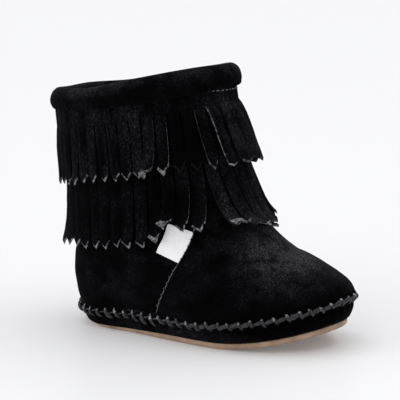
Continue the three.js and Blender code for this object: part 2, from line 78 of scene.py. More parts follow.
# the upper from the whipped seam (level 0) to the shaft's top edge (level 11)
upperRows = {
    "level": [0, 1, 2, 3, 4, 5, 6, 7, 8, 9, 10, 11],
    "back": [0.004, -0.008, -0.013, -0.015, -0.015, -0.014, -0.014, -0.017, -0.027, -0.042, -0.06, -0.076],
    "front": [1.0, 0.994, 0.973, 0.93, 0.866, 0.789, 0.719, 0.663, 0.621, 0.588, 0.561, 0.543],
    "half": [1.0, 1.03, 1.035, 1.015, 0.985, 0.95, 0.925, 0.92, 0.93, 0.95, 0.975, 1.0],
    "heelRise": [0, 0.04, 0.083, 0.137, 0.197, 0.257, 0.328, 0.422, 0.54, 0.68, 0.832, 1],
    "toeRise": [0, 0.041, 0.09, 0.152, 0.213, 0.265, 0.325, 0.41, 0.535, 0.68, 0.835, 1],
    "spring": [1, 0.92, 0.8, 0.6, 0.4, 0.2, 0, 0, 0, 0, 0, 0],
    "oval": [0, 0.03, 0.1, 0.25, 0.45, 0.65, 0.85, 1, 1, 1, 1, 1],
    "seam": [0.405, 0.425, 0.452, 0.499, 0.563, 0.643, 0.735, 0.81, 0.84, 0.85, 0.85, 0.85],
    "lap": [1, 1, 1, 1, 1, 1, 1, 0.7, 0, 0, 0, 0],
}
topLevel = 11


def readRows(rows, key, column, at):
    # smooth curve through one column, as the solids are drawn
    x = np.array(rows[key], float)
    y = np.array(rows[column], float)
    before = np.maximum(np.arange(len(x)) - 1, 0)
    after = np.minimum(np.arange(len(x)) + 1, len(x) - 1)
    slope = (y[after] - y[before]) / (x[after] - x[before])
    t = np.clip(at, x[0], x[-1])
    i = np.clip(np.searchsorted(x, t, side="left") - 1, 0, len(x) - 2)
    span = x[i + 1] - x[i]
    u = (t - x[i]) / span
    ease = u * u * (3 - 2 * u)
    bend = span * u * (1 - u) * ((1 - u) * slope[i] - u * slope[i + 1])
    return y[i] * (1 - ease) + y[i + 1] * ease + bend


def mix(a, b, t):
    return a + (b - a) * t


def lift(x):
    # the sole is flat from heel to ball and curves up at both ends
    flatBack, flatFront = 0.16 * foot["length"], 0.6 * foot["length"]
    ahead = np.maximum(0, x - flatFront) / (foot["length"] - flatFront)
    behind = np.maximum(0, flatBack - x) / flatBack
    return foot["toeSpring"] * ahead**2 + foot["heelSpring"] * behind**2


def toeRise(x):
    share = np.clip((x / foot["length"] - 0.5) / 0.3, 0, 1)
    return foot["seamRise"] * share * share * (3 - 2 * share)


def heelDrop(x):
    return foot["seamDrop"] * np.maximum(0, 1 - x / (0.4 * foot["length"])) ** 2


def outlineBase(angle):
    along = (1 - np.cos(angle)) / 2
    side = np.sin(angle)
    outer = readRows(outlineRows, "along", "outer", along)
    inner = readRows(outlineRows, "along", "inner", along)
    shape = np.where(side > 0, outer, inner)
    shift = readRows(outlineRows, "along", "shift", along)
    return np.stack([along * foot["length"], foot["ballWidth"] / 2 * (shift - side * shape)], -1)


def outlinePoint(angle, grow):
    turn = 0.01
    tangent = outlineBase(angle + turn) - outlineBase(angle - turn)
    tangent /= np.linalg.norm(tangent, axis=-1, keepdims=True)
    out = np.stack([tangent[..., 1], -tangent[..., 0]], -1)
    return outlineBase(angle) + out * np.asarray(grow)[..., None]


def solePoint(angle, grow, height, seamShare=0.0):
    # a share of 1 follows the whipped seam's drop at the heel and its rise at the toe
    p = outlinePoint(angle, grow)
    x = p[..., 0]
    z = height + lift(x) + seamShare * (toeRise(x) - heelDrop(x))
    return np.concatenate([p, z[..., None]], -1)


def soleTuck(angle):
    x = outlineBase(angle)[..., 0]
    return foot["soleTuck"] * np.maximum(0, 1 - x / (0.2 * foot["length"])) ** 2


def seamTuck(angle):
    # the whipped seam itself is drawn in under the heel's wall
    return 0.4 * soleTuck(angle)


def upperBase(level, angle):
    level, angle = np.broadcast_arrays(np.asarray(level, float), np.asarray(angle, float))
    row = {name: readRows(upperRows, "level", name, level) for name in upperRows if name != "level"}
    along = (1 - np.cos(angle)) / 2
    side = np.sin(angle)
    outer = readRows(outlineRows, "along", "outer", along)
    inner = readRows(outlineRows, "along", "inner", along)
    shape = np.where(side > 0, outer, inner)
    shift = readRows(outlineRows, "along", "shift", along) * (1 - row["oval"])
    halfWidth = foot["ballWidth"] / 2
    x = mix(row["back"], row["front"], along) * foot["length"]
    y = halfWidth * shift - side * halfWidth * row["half"] * mix(shape, 1, row["oval"])
    heelZ = foot["seamHeight"] + row["heelRise"] * (foot["backHeight"] - foot["seamHeight"])
    toeZ = foot["seamHeight"] + row["toeRise"] * (foot["frontHeight"] - foot["seamHeight"])
    z = mix(heelZ, toeZ, along) + row["spring"] * (lift(x) + toeRise(x))
    return np.stack([x, y, z], -1)


def upperNormal(level, angle):
    turn = 0.01
    up = np.minimum(np.asarray(level, float) + 0.1, topLevel)
    rise = upperBase(up, angle) - upperBase(up - 0.2, angle)
    around = upperBase(level, angle + turn) - upperBase(level, angle - turn)
    normal = np.cross(around, rise)
    return normal / np.linalg.norm(normal, axis=-1, keepdims=True)


def upperPoint(level, angle, out):
    return upperBase(level, angle) + upperNormal(level, angle) * np.asarray(out)[..., None]


def levelAtDepth(angle, depth):
    # the level that lies a depth below the shaft's top edge
    angle, depth = np.broadcast_arrays(np.asarray(angle, float), np.asarray(depth, float))
    top = upperBase(topLevel, angle)[..., 2]
    low, high = np.zeros(angle.shape), np.full(angle.shape, float(topLevel))
    for _ in range(20):
        middle = (low + high) / 2
        above = top - upperBase(middle, angle)[..., 2] > depth
        low, high = np.where(above, middle, low), np.where(above, high, middle)
    return (low + high) / 2


def seamAngle(level):
    return np.arccos(1 - 2 * readRows(upperRows, "level", "seam", level))


def ringAngles(count):
    return np.linspace(0, 2 * np.pi, count, endpoint=False)


def runAlong(points):
    # how far along a line each of its points lies
    return np.concatenate([[0], np.cumsum(np.linalg.norm(np.diff(points, axis=0), axis=1))])


def evenAngles(level, count):
    steps = np.linspace(0, 2 * np.pi, 721)
    run = runAlong(upperBase(level, steps))
    return np.interp(np.arange(count + 1) / count * run[-1], run, steps)


# everything moves by this much to stand under the middle of the boot's box
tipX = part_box("upper")[1][0] / mm
middleX = foot["length"] + foot["lap"] - tipX


def toFrame(points):
    return (np.asarray(points, float) - [middleX, 0, 0]) * mm


gradients = rng.normal(size=(256, 3))
gradients /= np.linalg.norm(gradients, axis=1, keepdims=True)


def wave(points, size, seed=0.0):
    # soft lumps of a given size in mm, from about -1 to 1
    at = np.asarray(points, float) / size + seed
    cell = np.floor(at).astype(int)
    part = at - cell
    ease = part**3 * (part * (part * 6 - 15) + 10)
    total = np.zeros(at.shape[:-1])
    for corner in np.ndindex(2, 2, 2):
        key = (cell + corner) @ [73, 179, 283] % len(gradients)
        weight = np.prod(np.where(np.array(corner) == 1, ease, 1 - ease), axis=-1)
        total += weight * np.sum(gradients[key] * (part - corner), axis=-1)
    return total * 1.6


def gridFaces(rows, columns, closeRows=False, closeColumns=True, start=0):
    r = np.arange(rows if closeRows else rows - 1)
    c = np.arange(columns if closeColumns else columns - 1)
    r, c = np.meshgrid(r, c, indexing="ij")
    r1, c1 = (r + 1) % rows, (c + 1) % columns
    quads = [r * columns + c, r * columns + c1, r1 * columns + c1, r1 * columns + c]
    return np.stack(quads, -1).reshape(-1, 4) + start


def makePiece(name, points, faces, materials, slots=None, sharp=40, slotName="suede", node=None):
    mesh = bpy.data.meshes.new(name)
    mesh.from_pydata(toFrame(points).tolist(), [], [tuple(map(int, face)) for face in faces])
    for material in materials:
        mesh.materials.append(material)
    if slots is not None:
        mesh.polygons.foreach_set("material_index", np.asarray(slots, np.int32))
    work = bmesh.new()
    work.from_mesh(mesh)
    bmesh.ops.recalc_face_normals(work, faces=work.faces)
    work.to_mesh(mesh)
    work.free()
    mesh.shade_smooth()
    mesh.set_sharp_from_angle(angle=math.radians(sharp))
    piece = bpy.data.objects.new(name, mesh)
    bpy.context.scene.collection.objects.link(piece)
    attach(piece, "root")
    if node:
        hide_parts(node)
    return piece


def discFaces(start, count, flip=False):
    # spans a ring of points from one side to the other
    half = count // 2
    faces = [(start, start + 1, start + count - 1)]
    for k in range(1, half - 1):
        faces.append((start + k, start + k + 1, start + count - k - 1, start + count - k))
    faces.append((start + half - 1, start + half, start + half + 1))
    return [tuple(reversed(face)) for face in faces] if flip else faces


def closedSkin(rings):
    # rings of points from one end to the other, with both ends closed
    count = len(rings[0])
    faces = gridFaces(len(rings), count).tolist()
    faces += discFaces(0, count, True) + discFaces((len(rings) - 1) * count, count)
    return np.concatenate(rings), faces


class Joined:
    # many small closed skins gathered into one mesh
    def __init__(self):
        self.points, self.faces, self.slots = [], [], []

    def add(self, points, faces, slots=0):
        start = len(self.points)
        self.points.extend(np.asarray(points, float).tolist())
        self.faces.extend(tuple(int(i) + start for i in face) for face in faces)
        self.slots.extend([slots] * len(faces) if np.isscalar(slots) else list(slots))


def tube(route, radii, sides=6, squash=1.0, flatWay=None):
    # a closed tube along a route, with its radius at each point; squash flattens it along flatWay
    route = np.asarray(route, float)
    along = np.gradient(route, axis=0)
    along /= np.linalg.norm(along, axis=1, keepdims=True)
    way = np.array([0, 0, 1.0]) if flatWay is None else np.asarray(flatWay, float)
    way = np.broadcast_to(way, route.shape)
    side = np.cross(along, way)
    side /= np.linalg.norm(side, axis=1, keepdims=True) + 1e-9
    up = np.cross(side, along)
    turn = ringAngles(sides)
    radii = np.broadcast_to(radii, len(route))[:, None, None]
    turn = turn[None, :, None]
    ring = side[:, None] * np.cos(turn) + up[:, None] * np.sin(turn) * squash
    points = (route[:, None] + ring * radii).reshape(-1, 3)
    points = np.concatenate([points, [route[0], route[-1]]])
    faces = [tuple(f) for f in gridFaces(len(route), sides)]
    last = (len(route) - 1) * sides
    for k in range(sides):
        faces.append((k, len(points) - 2, (k + 1) % sides))
        faces.append((last + (k + 1) % sides, len(points) - 1, last + k))
    return points, faces


# Materials


def toLinear(hexColour):
    parts = [int(hexColour[i:i + 2], 16) / 255 for i in (1, 3, 5)]
    return tuple(c / 12.92 if c <= 0.04045 else ((c + 0.055) / 1.055) ** 2.4 for c in parts) + (1.0,)


def addNode(tree, kind, settings=None, links=None):
    node = tree.nodes.new(kind)
    for name, value in (settings or {}).items():
        if isinstance(name, int) or name in node.inputs:
            node.inputs[name].default_value = value
        else:
            setattr(node, name, value)
    for name, source in (links or {}).items():
        tree.links.new(source, node.inputs[name])
    return node


def startMaterial(name, shaderSettings):
    material = bpy.data.materials.new(name)
    material.use_nodes = True
    tree = material.node_tree
    tree.nodes.clear()
    shader = addNode(tree, "ShaderNodeBsdfPrincipled", shaderSettings)
    addNode(tree, "ShaderNodeOutputMaterial", links={"Surface": shader.outputs["BSDF"]})
    place = addNode(tree, "ShaderNodeTexCoord").outputs["Object"]
    return material, tree, shader, place


def perMetre(sizeMm):
    return 1 / (sizeMm * mm)


def finishSurface(tree, shader, share, colours, height, strength, depth):
    # two colours by a share, and a relief in mm from a height
    colour = addNode(tree, "ShaderNodeMix",
                     {"data_type": "RGBA", 6: toLinear(colours[0]), 7: toLinear(colours[1])}, {0: share})
    bump = addNode(tree, "ShaderNodeBump", {"Strength": strength, "Distance": depth * mm},
                   {"Height": height})
    tree.links.new(colour.outputs[2], shader.inputs["Base Color"])
    tree.links.new(bump.outputs["Normal"], shader.inputs["Normal"])


# suede: brushed flesh side of a split, dyed black. No gloss, and a nap that lies in patches:
# where it stands up it scatters light from its fibres, and elsewhere it is a deep black. The raised
# nap's lighter colour also carries painted light: more of it on faces that look up, and spots of
# painted highlight and painted shade
suede = {
    "deep": "#020203",
    "raised": "#232326",
    "fleck": "#4a4a4e",
    "nap": 0.75,  # mm, coarser than the real 0.2 so that it shows
    "patch": 13,
    "streak": 1.0,  # 1 is no direction, less draws the nap out along the height
    "patchStreak": 1.0,
    "roughness": 0.94,
    "ior": 1.5,
    "specular": 0.02,
    "sheen": 0.02,
    "relief": 0.3,
    "side": 0.15,  # painted top light: how much of the raised nap shows on an upright face, for 1 on one that looks up
    "lying": 0.07,  # how much of it is left between the patches
    "patchFrom": 0.4,  # value of the noise where patches start, and where they are there in full
    "patchFull": 0.66,
    "napLeast": 0.1,
    "napFrom": 0.3,
    "napFull": 0.68,
    "fleckMost": 0.8,
    "fleckFrom": 0.5,
    "fleckFull": 0.78,
    # spots in mm of painted shade (left under 1) and painted highlight (over 1) on the raised nap
    "paintedLightSpots": [
        {"at": (42, -4, 39), "reach": (18, 18, 11), "left": 5.0},
        {"at": (62, 0, 18), "reach": (20, 28, 16), "left": 0.2},
        {"at": (46, -24, 14), "reach": (30, 16, 12), "left": 0.1},
        {"at": (20, -26, 30), "reach": (20, 16, 16), "left": 0.3},
        {"at": (-30, -26, 26), "reach": (20, 12, 12), "left": 1.8},
        {"at": (6, -34, 91), "reach": (50, 14, 5), "left": 0.3},
        {"at": (36, -24, 108), "reach": (18, 16, 10), "left": 0.15},
        {"at": (0, -32, 4), "reach": (60, 16, 5), "left": 4.0},
    ],
}


def makeSuede(name, values):
    material, tree, shader, place = startMaterial(name, {
        "IOR": values["ior"],
        "Specular IOR Level": values["specular"],
        "Sheen Weight": values["sheen"],
        "Sheen Roughness": 0.4,
        "Sheen Tint": toLinear("#a8a8b0"),
    })
    drawn = addNode(tree, "ShaderNodeMapping", {"Scale": (1.0, 1.0, values["streak"])}, {"Vector": place})
    drawn = drawn.outputs["Vector"]
    patchPlace = addNode(tree, "ShaderNodeMapping", {"Scale": (1.0, 1.0, values["patchStreak"])},
                         {"Vector": place})
    patches = addNode(tree, "ShaderNodeTexNoise",
                      {"Scale": perMetre(values["patch"]), "Detail": 4.0, "Roughness": 0.6},
                      {"Vector": patchPlace.outputs["Vector"]})
    nap = addNode(tree, "ShaderNodeTexNoise",
                  {"Scale": perMetre(values["nap"]), "Detail": 3.0, "Roughness": 0.7}, {"Vector": drawn})
    # painted light from above: more of the raised nap shows on the faces that look up
    facing = addNode(tree, "ShaderNodeSeparateXYZ",
                     links={"Vector": addNode(tree, "ShaderNodeNewGeometry").outputs["Normal"]})
    paintedTopLight = addNode(tree, "ShaderNodeMapRange",
                      {"From Min": 0.05, "From Max": 0.8, "To Min": values["side"], "To Max": 1.0},
                      {"Value": facing.outputs["Z"]})
    patchShare = addNode(tree, "ShaderNodeMapRange",
                         {"From Min": values["patchFrom"], "From Max": values["patchFull"],
                          "To Min": values["lying"], "To Max": 1.0}, {"Value": patches.outputs["Fac"]})
    raised = addNode(tree, "ShaderNodeMath", {"operation": "MULTIPLY"},
                     {0: patchShare.outputs["Result"], 1: paintedTopLight.outputs["Result"]})
    # each spot scales the raised nap: painted highlight over 1, painted shade under 1
    for spot in values["paintedLightSpots"]:
        offset = place
        for operation, key in (("SUBTRACT", "at"), ("DIVIDE", "reach")):
            offset = addNode(tree, "ShaderNodeVectorMath",
                             {"operation": operation, 1: [c * mm for c in spot[key]]},
                             {0: offset}).outputs[0]
        far = addNode(tree, "ShaderNodeVectorMath", {"operation": "LENGTH"}, {0: offset})
        share = addNode(tree, "ShaderNodeMapRange",
                        {"interpolation_type": "SMOOTHSTEP", "From Min": 0.3, "From Max": 1.3,
                         "To Min": spot["left"], "To Max": 1.0}, {"Value": far.outputs["Value"]})
        raised = addNode(tree, "ShaderNodeMath", {"operation": "MULTIPLY"},
                         {0: raised.outputs[0], 1: share.outputs["Result"]})
    napShare = addNode(tree, "ShaderNodeMapRange",
                       {"From Min": values["napFrom"], "From Max": values["napFull"],
                        "To Min": values["napLeast"], "To Max": 1.0}, {"Value": nap.outputs["Fac"]})
    both = addNode(tree, "ShaderNodeMath", {"operation": "MULTIPLY"},
                   {0: raised.outputs[0], 1: napShare.outputs["Result"]})
    ground = addNode(tree, "ShaderNodeMix", {"data_type": "RGBA", 6: toLinear(values["deep"]),
                                             7: toLinear(values["raised"])}, {0: both.outputs[0]})
    # lighter fibre ends, more of them where the nap is raised and where light is painted
    fibres = addNode(tree, "ShaderNodeTexNoise",
                     {"Scale": perMetre(values["nap"] * 0.75), "Detail": 1.0}, {"Vector": drawn})
    fleckShare = addNode(tree, "ShaderNodeMapRange",
                         {"From Min": values["fleckFrom"], "From Max": values["fleckFull"],
                          "To Min": 0.0, "To Max": values["fleckMost"]}, {"Value": fibres.outputs["Fac"]})
    flecks = addNode(tree, "ShaderNodeMath", {"operation": "MULTIPLY"},
                     {0: fleckShare.outputs["Result"], 1: raised.outputs[0]})
    colour = addNode(tree, "ShaderNodeMix", {"data_type": "RGBA", 7: toLinear(values["fleck"])},
                     {0: flecks.outputs[0], 6: ground.outputs[2]})
    rough = addNode(tree, "ShaderNodeMapRange",
                    {"To Min": values["roughness"] - 0.06, "To Max": 1.0}, {"Value": nap.outputs["Fac"]})
    bump = addNode(tree, "ShaderNodeBump", {"Strength": 0.8, "Distance": values["relief"] * mm},
                   {"Height": nap.outputs["Fac"]})
    tree.links.new(colour.outputs[2], shader.inputs["Base Color"])
    tree.links.new(rough.outputs["Result"], shader.inputs["Roughness"])
    tree.links.new(bump.outputs["Normal"], shader.inputs["Normal"])
    return material


blackSuede = makeSuede("blackSuede", suede)
fringeLie = {**suede, "streak": 0.55, "patch": 7, "patchStreak": 0.3, "fleck": "#505054"}
# upper fringe: nap drawn along the strips, more painted top light on its upright faces, painted shade on
# its front and a painted highlight at its back
fringeSuede = makeSuede("fringeSuede", {**fringeLie, "side": 0.34, "paintedLightSpots": [
    {"at": (9, -30, 86), "reach": (16, 22, 26), "left": 0.01},
    {"at": (38, -12, 80), "reach": (16, 16, 24), "left": 0.12},
    {"at": (-60, -14, 84), "reach": (16, 16, 22), "left": 1.4},
]})
# lower fringe: a darker copy, painted shade under the upper fringe, with its own spots of painted shade and
# painted highlight
shadedLowFringeSuede = makeSuede("shadedLowFringeSuede", {**fringeLie, "side": 0.08, "paintedLightSpots": [
    {"at": (8, -28, 54), "reach": (20, 16, 20), "left": 0.3},
    {"at": (44, -10, 52), "reach": (18, 16, 16), "left": 1.6},
]})

# cut edge of the same split: raw grey fibre where the knife went through; the darker copies are
# painted shade, on the sides between two strips and on edges that lie in shadow
cutEdge = {
    "dark": "#18181a",
    "light": "#868688",
    "mottle": 1.3,
    "detail": 3.0,
    "darkUnder": 0.38,  # shares of the mottle that are all dark and all light
    "lightOver": 0.66,
    "roughness": 0.9,
    "specular": 0.15,
    "bump": 0.6,
    "relief": 0.1,
}
# waxed polyester thread, braided: darker in its hollows as painted shade, a small gloss on the strands
thread = {
    "dark": "#0a0a0b",
    "light": "#363639",
    "mottle": 0.8,
    "detail": 2.0,
    "darkUnder": 0.35,
    "lightOver": 0.7,
    "roughness": 0.5,
    "specular": 0.35,
    "bump": 0.8,
    "relief": 0.12,
}


def makeMottled(name, values):
    # fibre or strands in two tones, with the light one raised, so that the dark one in the hollows is
    # painted shade
    material, tree, shader, place = startMaterial(name, {
        "Roughness": values["roughness"], "Specular IOR Level": values["specular"], "IOR": 1.5,
    })
    mottle = addNode(tree, "ShaderNodeTexNoise",
                     {"Scale": perMetre(values["mottle"]), "Detail": values["detail"]}, {"Vector": place})
    share = addNode(tree, "ShaderNodeMapRange",
                    {"From Min": values["darkUnder"], "From Max": values["lightOver"]},
                    {"Value": mottle.outputs["Fac"]})
    finishSurface(tree, shader, share.outputs["Result"], [values["dark"], values["light"]],
                  mottle.outputs["Fac"], values["bump"], values["relief"])
    return material


cutEdgeAndHighlight = makeMottled("cutSuedeEdgeAndHighlight", cutEdge)
# darker copies of the cut edge, painted shade: dim and deep
halfShadedCut = makeMottled("halfShadedSuedeEdge", {**cutEdge, "dark": "#0e0e0f", "light": "#5a5a5c"})
shadedCut = makeMottled("shadedSuedeEdge", {**cutEdge, "dark": "#020203", "light": "#0e0e0f"})
waxedThread = makeMottled("waxedThread", thread)
# paler copy of the thread: painted highlight on the stitch heads and the collar's stitches
paleHighlightThread = makeMottled("paleHighlightThread", {**thread, "dark": "#3c3c3e", "light": "#a0a0a2"})
seamThread = makeMottled("seamThread", {**thread, "dark": "#262628", "light": "#7c7c7e"})
brownThread = makeMottled("brownSoleThread", {**thread, "dark": "#23140c", "light": "#4a2f1f",
                                              "mottle": 0.5, "roughness": 0.6})

# gum rubber, press-moulded: satin, slightly cloudy
gumRubber = {
    "base": "#ae927a",
    "shade": "#92755e",
    "cloud": 6,
    "grain": 0.4,
    "roughness": 0.5,
    "ior": 1.52,
}


def makeRubber(values):
    material, tree, shader, place = startMaterial("gumRubber", {
        "IOR": values["ior"], "Specular IOR Level": 0.4, "Subsurface Weight": 0.05,
        "Subsurface Scale": 0.001,
    })
    cloud = addNode(tree, "ShaderNodeTexNoise", {"Scale": perMetre(values["cloud"]), "Detail": 4.0},
                    {"Vector": place})
    grain = addNode(tree, "ShaderNodeTexNoise", {"Scale": perMetre(values["grain"]), "Detail": 2.0},
                    {"Vector": place})
    share = addNode(tree, "ShaderNodeMapRange", {"From Min": 0.35, "From Max": 0.65},
                    {"Value": cloud.outputs["Fac"]})
    rough = addNode(tree, "ShaderNodeMapRange",
                    {"To Min": values["roughness"] - 0.08, "To Max": values["roughness"] + 0.15},
                    {"Value": cloud.outputs["Fac"]})
    tree.links.new(rough.outputs["Result"], shader.inputs["Roughness"])
    finishSurface(tree, shader, share.outputs["Result"], [values["base"], values["shade"]],
                  grain.outputs["Fac"], 0.25, 0.05)
    return material


rubber = makeRubber(gumRubber)

# lining: brushed polyester tricot, a fine knit with a short pile
tricot = {
    "dark": "#141416",
    "light": "#2a2a2d",
    "stitch": 0.9,
    "roughness": 0.95,
}


def makeTricot(values):
    material, tree, shader, place = startMaterial("brushedTricot", {
        "Roughness": values["roughness"], "Specular IOR Level": 0.1, "Sheen Weight": 0.2,
        "Sheen Roughness": 0.5,
    })
    knit = addNode(tree, "ShaderNodeTexVoronoi", {"Scale": perMetre(values["stitch"])}, {"Vector": place})
    pile = addNode(tree, "ShaderNodeTexNoise", {"Scale": perMetre(values["stitch"] * 0.6), "Detail": 2.0},
                   {"Vector": place})
    height = addNode(tree, "ShaderNodeMath", {"operation": "SUBTRACT"},
                     {0: pile.outputs["Fac"], 1: knit.outputs["Distance"]})
    finishSurface(tree, shader, pile.outputs["Fac"], [values["dark"], values["light"]],
                  height.outputs[0], 0.6, 0.2)
    return material


lining = makeTricot(tricot)

# label: woven polyester satin, white, with floats that run across it
satin = {
    "white": "#fbfbfc",
    "grey": "#f2f2f4",
    "thread": 0.35,
    "soil": 5,
    "roughness": 0.42,
}


def makeSatin(values):
    material, tree, shader, place = startMaterial("wovenSatin", {
        "Specular IOR Level": 0.5, "IOR": 1.54, "Sheen Weight": 0.1, "Sheen Roughness": 0.3,
        "Roughness": values["roughness"],
    })
    # a wave node draws 20 bands to its unit
    ribs = addNode(tree, "ShaderNodeTexWave",
                   {"Scale": perMetre(values["thread"] * 20), "Distortion": 0.6, "Detail": 1.0,
                    "bands_direction": "Z"}, {"Vector": place})
    soil = addNode(tree, "ShaderNodeTexNoise", {"Scale": perMetre(values["soil"]), "Detail": 3.0},
                   {"Vector": place})
    share = addNode(tree, "ShaderNodeMapRange", {"From Min": 0.45, "From Max": 0.75},
                    {"Value": soil.outputs["Fac"]})
    finishSurface(tree, shader, share.outputs["Result"], [values["white"], values["grey"]],
                  ribs.outputs["Fac"], 0.25, 0.05)
    return material


labelSatin = makeSatin(satin)
print("materials ready")

# Whipped seam: places of the stitches along the outline, shared by all that meets there
whip = {
    "pitch": 4.9,
    "standOff": 0.65,  # over the ridge
    "sides": 9,  # of a stitch
    "strandSides": 7,
    # how far each stitch strays: lean and place in pitches, strandHeight in mm, the rest as shares
    "stray": {
        "lean": 0.14, "rise": 0.2, "drop": 0.14, "place": 0.06, "radius": 0.16, "strandHeight": 0.2,
        "strand": 0.14,
    },
}
# by share of the length: how far a stitch's foot lies ahead of its head in pitches, its reach up to
# the upper's hole and down to the bottom's in mm, its radius, and that of the strand between two
whipRows = {
    "along": [0.0, 0.4, 0.62, 1.0],
    "slant": [0.75, 0.75, 0.5, 0.5],
    "rise": [1.1, 1.3, 1.3, 1.5],
    "drop": [2.9, 3.1, 2.4, 2.1],
    "radius": [0.75, 0.8, 0.7, 0.7],
    "strand": [0.3, 0.5, 0.92, 0.96],
}
fineAngles = np.linspace(0, 2 * np.pi, 1441)
seamLine = solePoint(fineAngles, 0.0, foot["seamHeight"], 1.0)
seamRun = runAlong(seamLine)
stitchCount = int(round(seamRun[-1] / whip["pitch"]))
stitchPitch = seamRun[-1] / stitchCount


def seamShare(angle):
    # which stitch an angle lies at, as a running number
    return np.interp(np.mod(angle, 2 * np.pi), fineAngles, seamRun) / stitchPitch


def angleAtStitch(number):
    return np.interp(np.mod(number, stitchCount) * stitchPitch, seamRun, fineAngles)


def pucker(angle):
    # 1 between two stitches and 0 where one pulls in
    return 0.5 - 0.5 * np.cos(2 * np.pi * seamShare(angle))


# Upper
upperLook = {
    "quarterColumns": 74,
    "vampColumns": 96,
    "rows": 67,  # up to level 8
    "topRows": 16,  # and from there to the top edge
    "edgeTurn": 0.012,  # how far round the vamp's cut edge reaches
    "edgeShares": [0.35, 0.75, 1.0],  # of that turn, at the three columns over the edge
    "edgeSteps": [0.55, 0.95, 1.0],  # and of the step up to the vamp
    "puckerDepth": 0.42,
    "puckerReach": 3.6,  # mm above the seam where the pull has died out
    "heelRound": 0.9,  # mm that the heel's wall bulges above the seam
    # soft lumps: how deep and how wide in mm, seed, and how far over the seam they are there in full
    "lumps": [(0.35, 17, 3.0, 8), (0.12, 6, 9.0, 5)],
    "bareRows": 24,  # rows under the top where the vamp has no cut edge
}
# main creases, listed: level and share round from heel to front, how long and how wide in mm,
# how deep in mm (negative is a ridge), and how much it slopes along
creaseRows = [
    {"side": 1, "level": 5.1, "round": 0.80, "long": 26, "wide": 5.0, "deep": 1.0, "slope": 0.10},
    {"side": 1, "level": 4.1, "round": 0.66, "long": 20, "wide": 6.0, "deep": 0.7, "slope": 0.35},
    {"side": 1, "level": 2.2, "round": 0.62, "long": 24, "wide": 8.0, "deep": 0.6, "slope": 0.20},
    {"side": 1, "level": 3.2, "round": 0.30, "long": 22, "wide": 7.0, "deep": 0.8, "slope": -0.25},
    {"side": 1, "level": 2.0, "round": 0.16, "long": 16, "wide": 6.0, "deep": 0.5, "slope": 0.30},
    {"side": 1, "level": 5.6, "round": 0.12, "long": 20, "wide": 5.0, "deep": 0.7, "slope": 0.10},
    {"side": 1, "level": 3.4, "round": 0.88, "long": 16, "wide": 6.0, "deep": -0.5, "slope": 0.00},
    {"side": -1, "level": 5.0, "round": 0.82, "long": 24, "wide": 5.0, "deep": 0.9, "slope": 0.15},
    {"side": -1, "level": 3.6, "round": 0.60, "long": 24, "wide": 7.0, "deep": 0.7, "slope": 0.30},
    {"side": -1, "level": 3.0, "round": 0.28, "long": 24, "wide": 7.0, "deep": 0.8, "slope": -0.20},
]


def creaseDepth(points, level, angle):
    depth = np.zeros(level.shape)
    for row in creaseRows:
        centreAngle = row["side"] * row["round"] * np.pi
        centre = upperBase(row["level"], centreAngle)
        ahead = upperBase(row["level"], centreAngle + 0.05) - centre
        ahead /= np.linalg.norm(ahead)
        upward = np.array([0, 0, 1.0])
        along = ahead + upward * row["slope"]
        along /= np.linalg.norm(along)
        across = upward - along * np.dot(upward, along)
        across /= np.linalg.norm(across)
        offset = points - centre
        s = offset @ along
        t = offset @ across + 0.012 * s * s
        sameSide = np.sign(np.sin(angle) + 1e-6) == row["side"]
        fade = np.exp(-((s / (row["long"] / 2)) ** 2))
        # a trough with a low ridge at each side
        trough = np.exp(-((t / (row["wide"] / 2)) ** 2))
        ridges = 0.35 * np.exp(-(((np.abs(t) - row["wide"]) / 3) ** 2))
        shows = sameSide | (row["round"] > 0.75)
        depth += np.where(shows, 1, 0) * row["deep"] * fade * (trough - ridges)
    return depth


def upperColumns(level):
    # angles of the columns at a level: quarter, the vamp's edge, vamp, on both sides
    seam = seamAngle(level)
    quarter = np.linspace(0, 1, upperLook["quarterColumns"]) * seam
    edge = seam + np.array(upperLook["edgeShares"]) * upperLook["edgeTurn"]
    share = np.linspace(0, 1, upperLook["vampColumns"])[1:]
    vamp = edge[-1] + (np.pi - edge[-1]) * share
    half = np.concatenate([quarter, edge, vamp])
    return np.concatenate([half, -half[1:-1][::-1]])


def lapShares():
    quarter = np.zeros(upperLook["quarterColumns"])
    vamp = np.ones(upperLook["vampColumns"] - 1)
    half = np.concatenate([quarter, upperLook["edgeSteps"], vamp])
    return np.concatenate([half, half[1:-1][::-1]])


def upperRelief(level, angle, base):
    x = base[..., 0]
    above = np.maximum(0, base[..., 2] - foot["seamHeight"] - lift(x) - toeRise(x))
    pull = np.exp(-above / upperLook["puckerReach"])
    relief = -upperLook["puckerDepth"] * pull * (1 - pucker(angle))
    relief -= creaseDepth(base, level, angle) * np.clip(above / 6, 0, 1)
    heelShare = np.clip(1 - x / (0.25 * foot["length"]), 0, 1) ** 0.5
    relief += upperLook["heelRound"] * heelShare * np.exp(-(((above - 12) / 9) ** 2))
    for deep, wide, seed, full in upperLook["lumps"]:
        relief += deep * wave(base, wide, seed) * np.clip(above / full, 0, 1)
    return relief


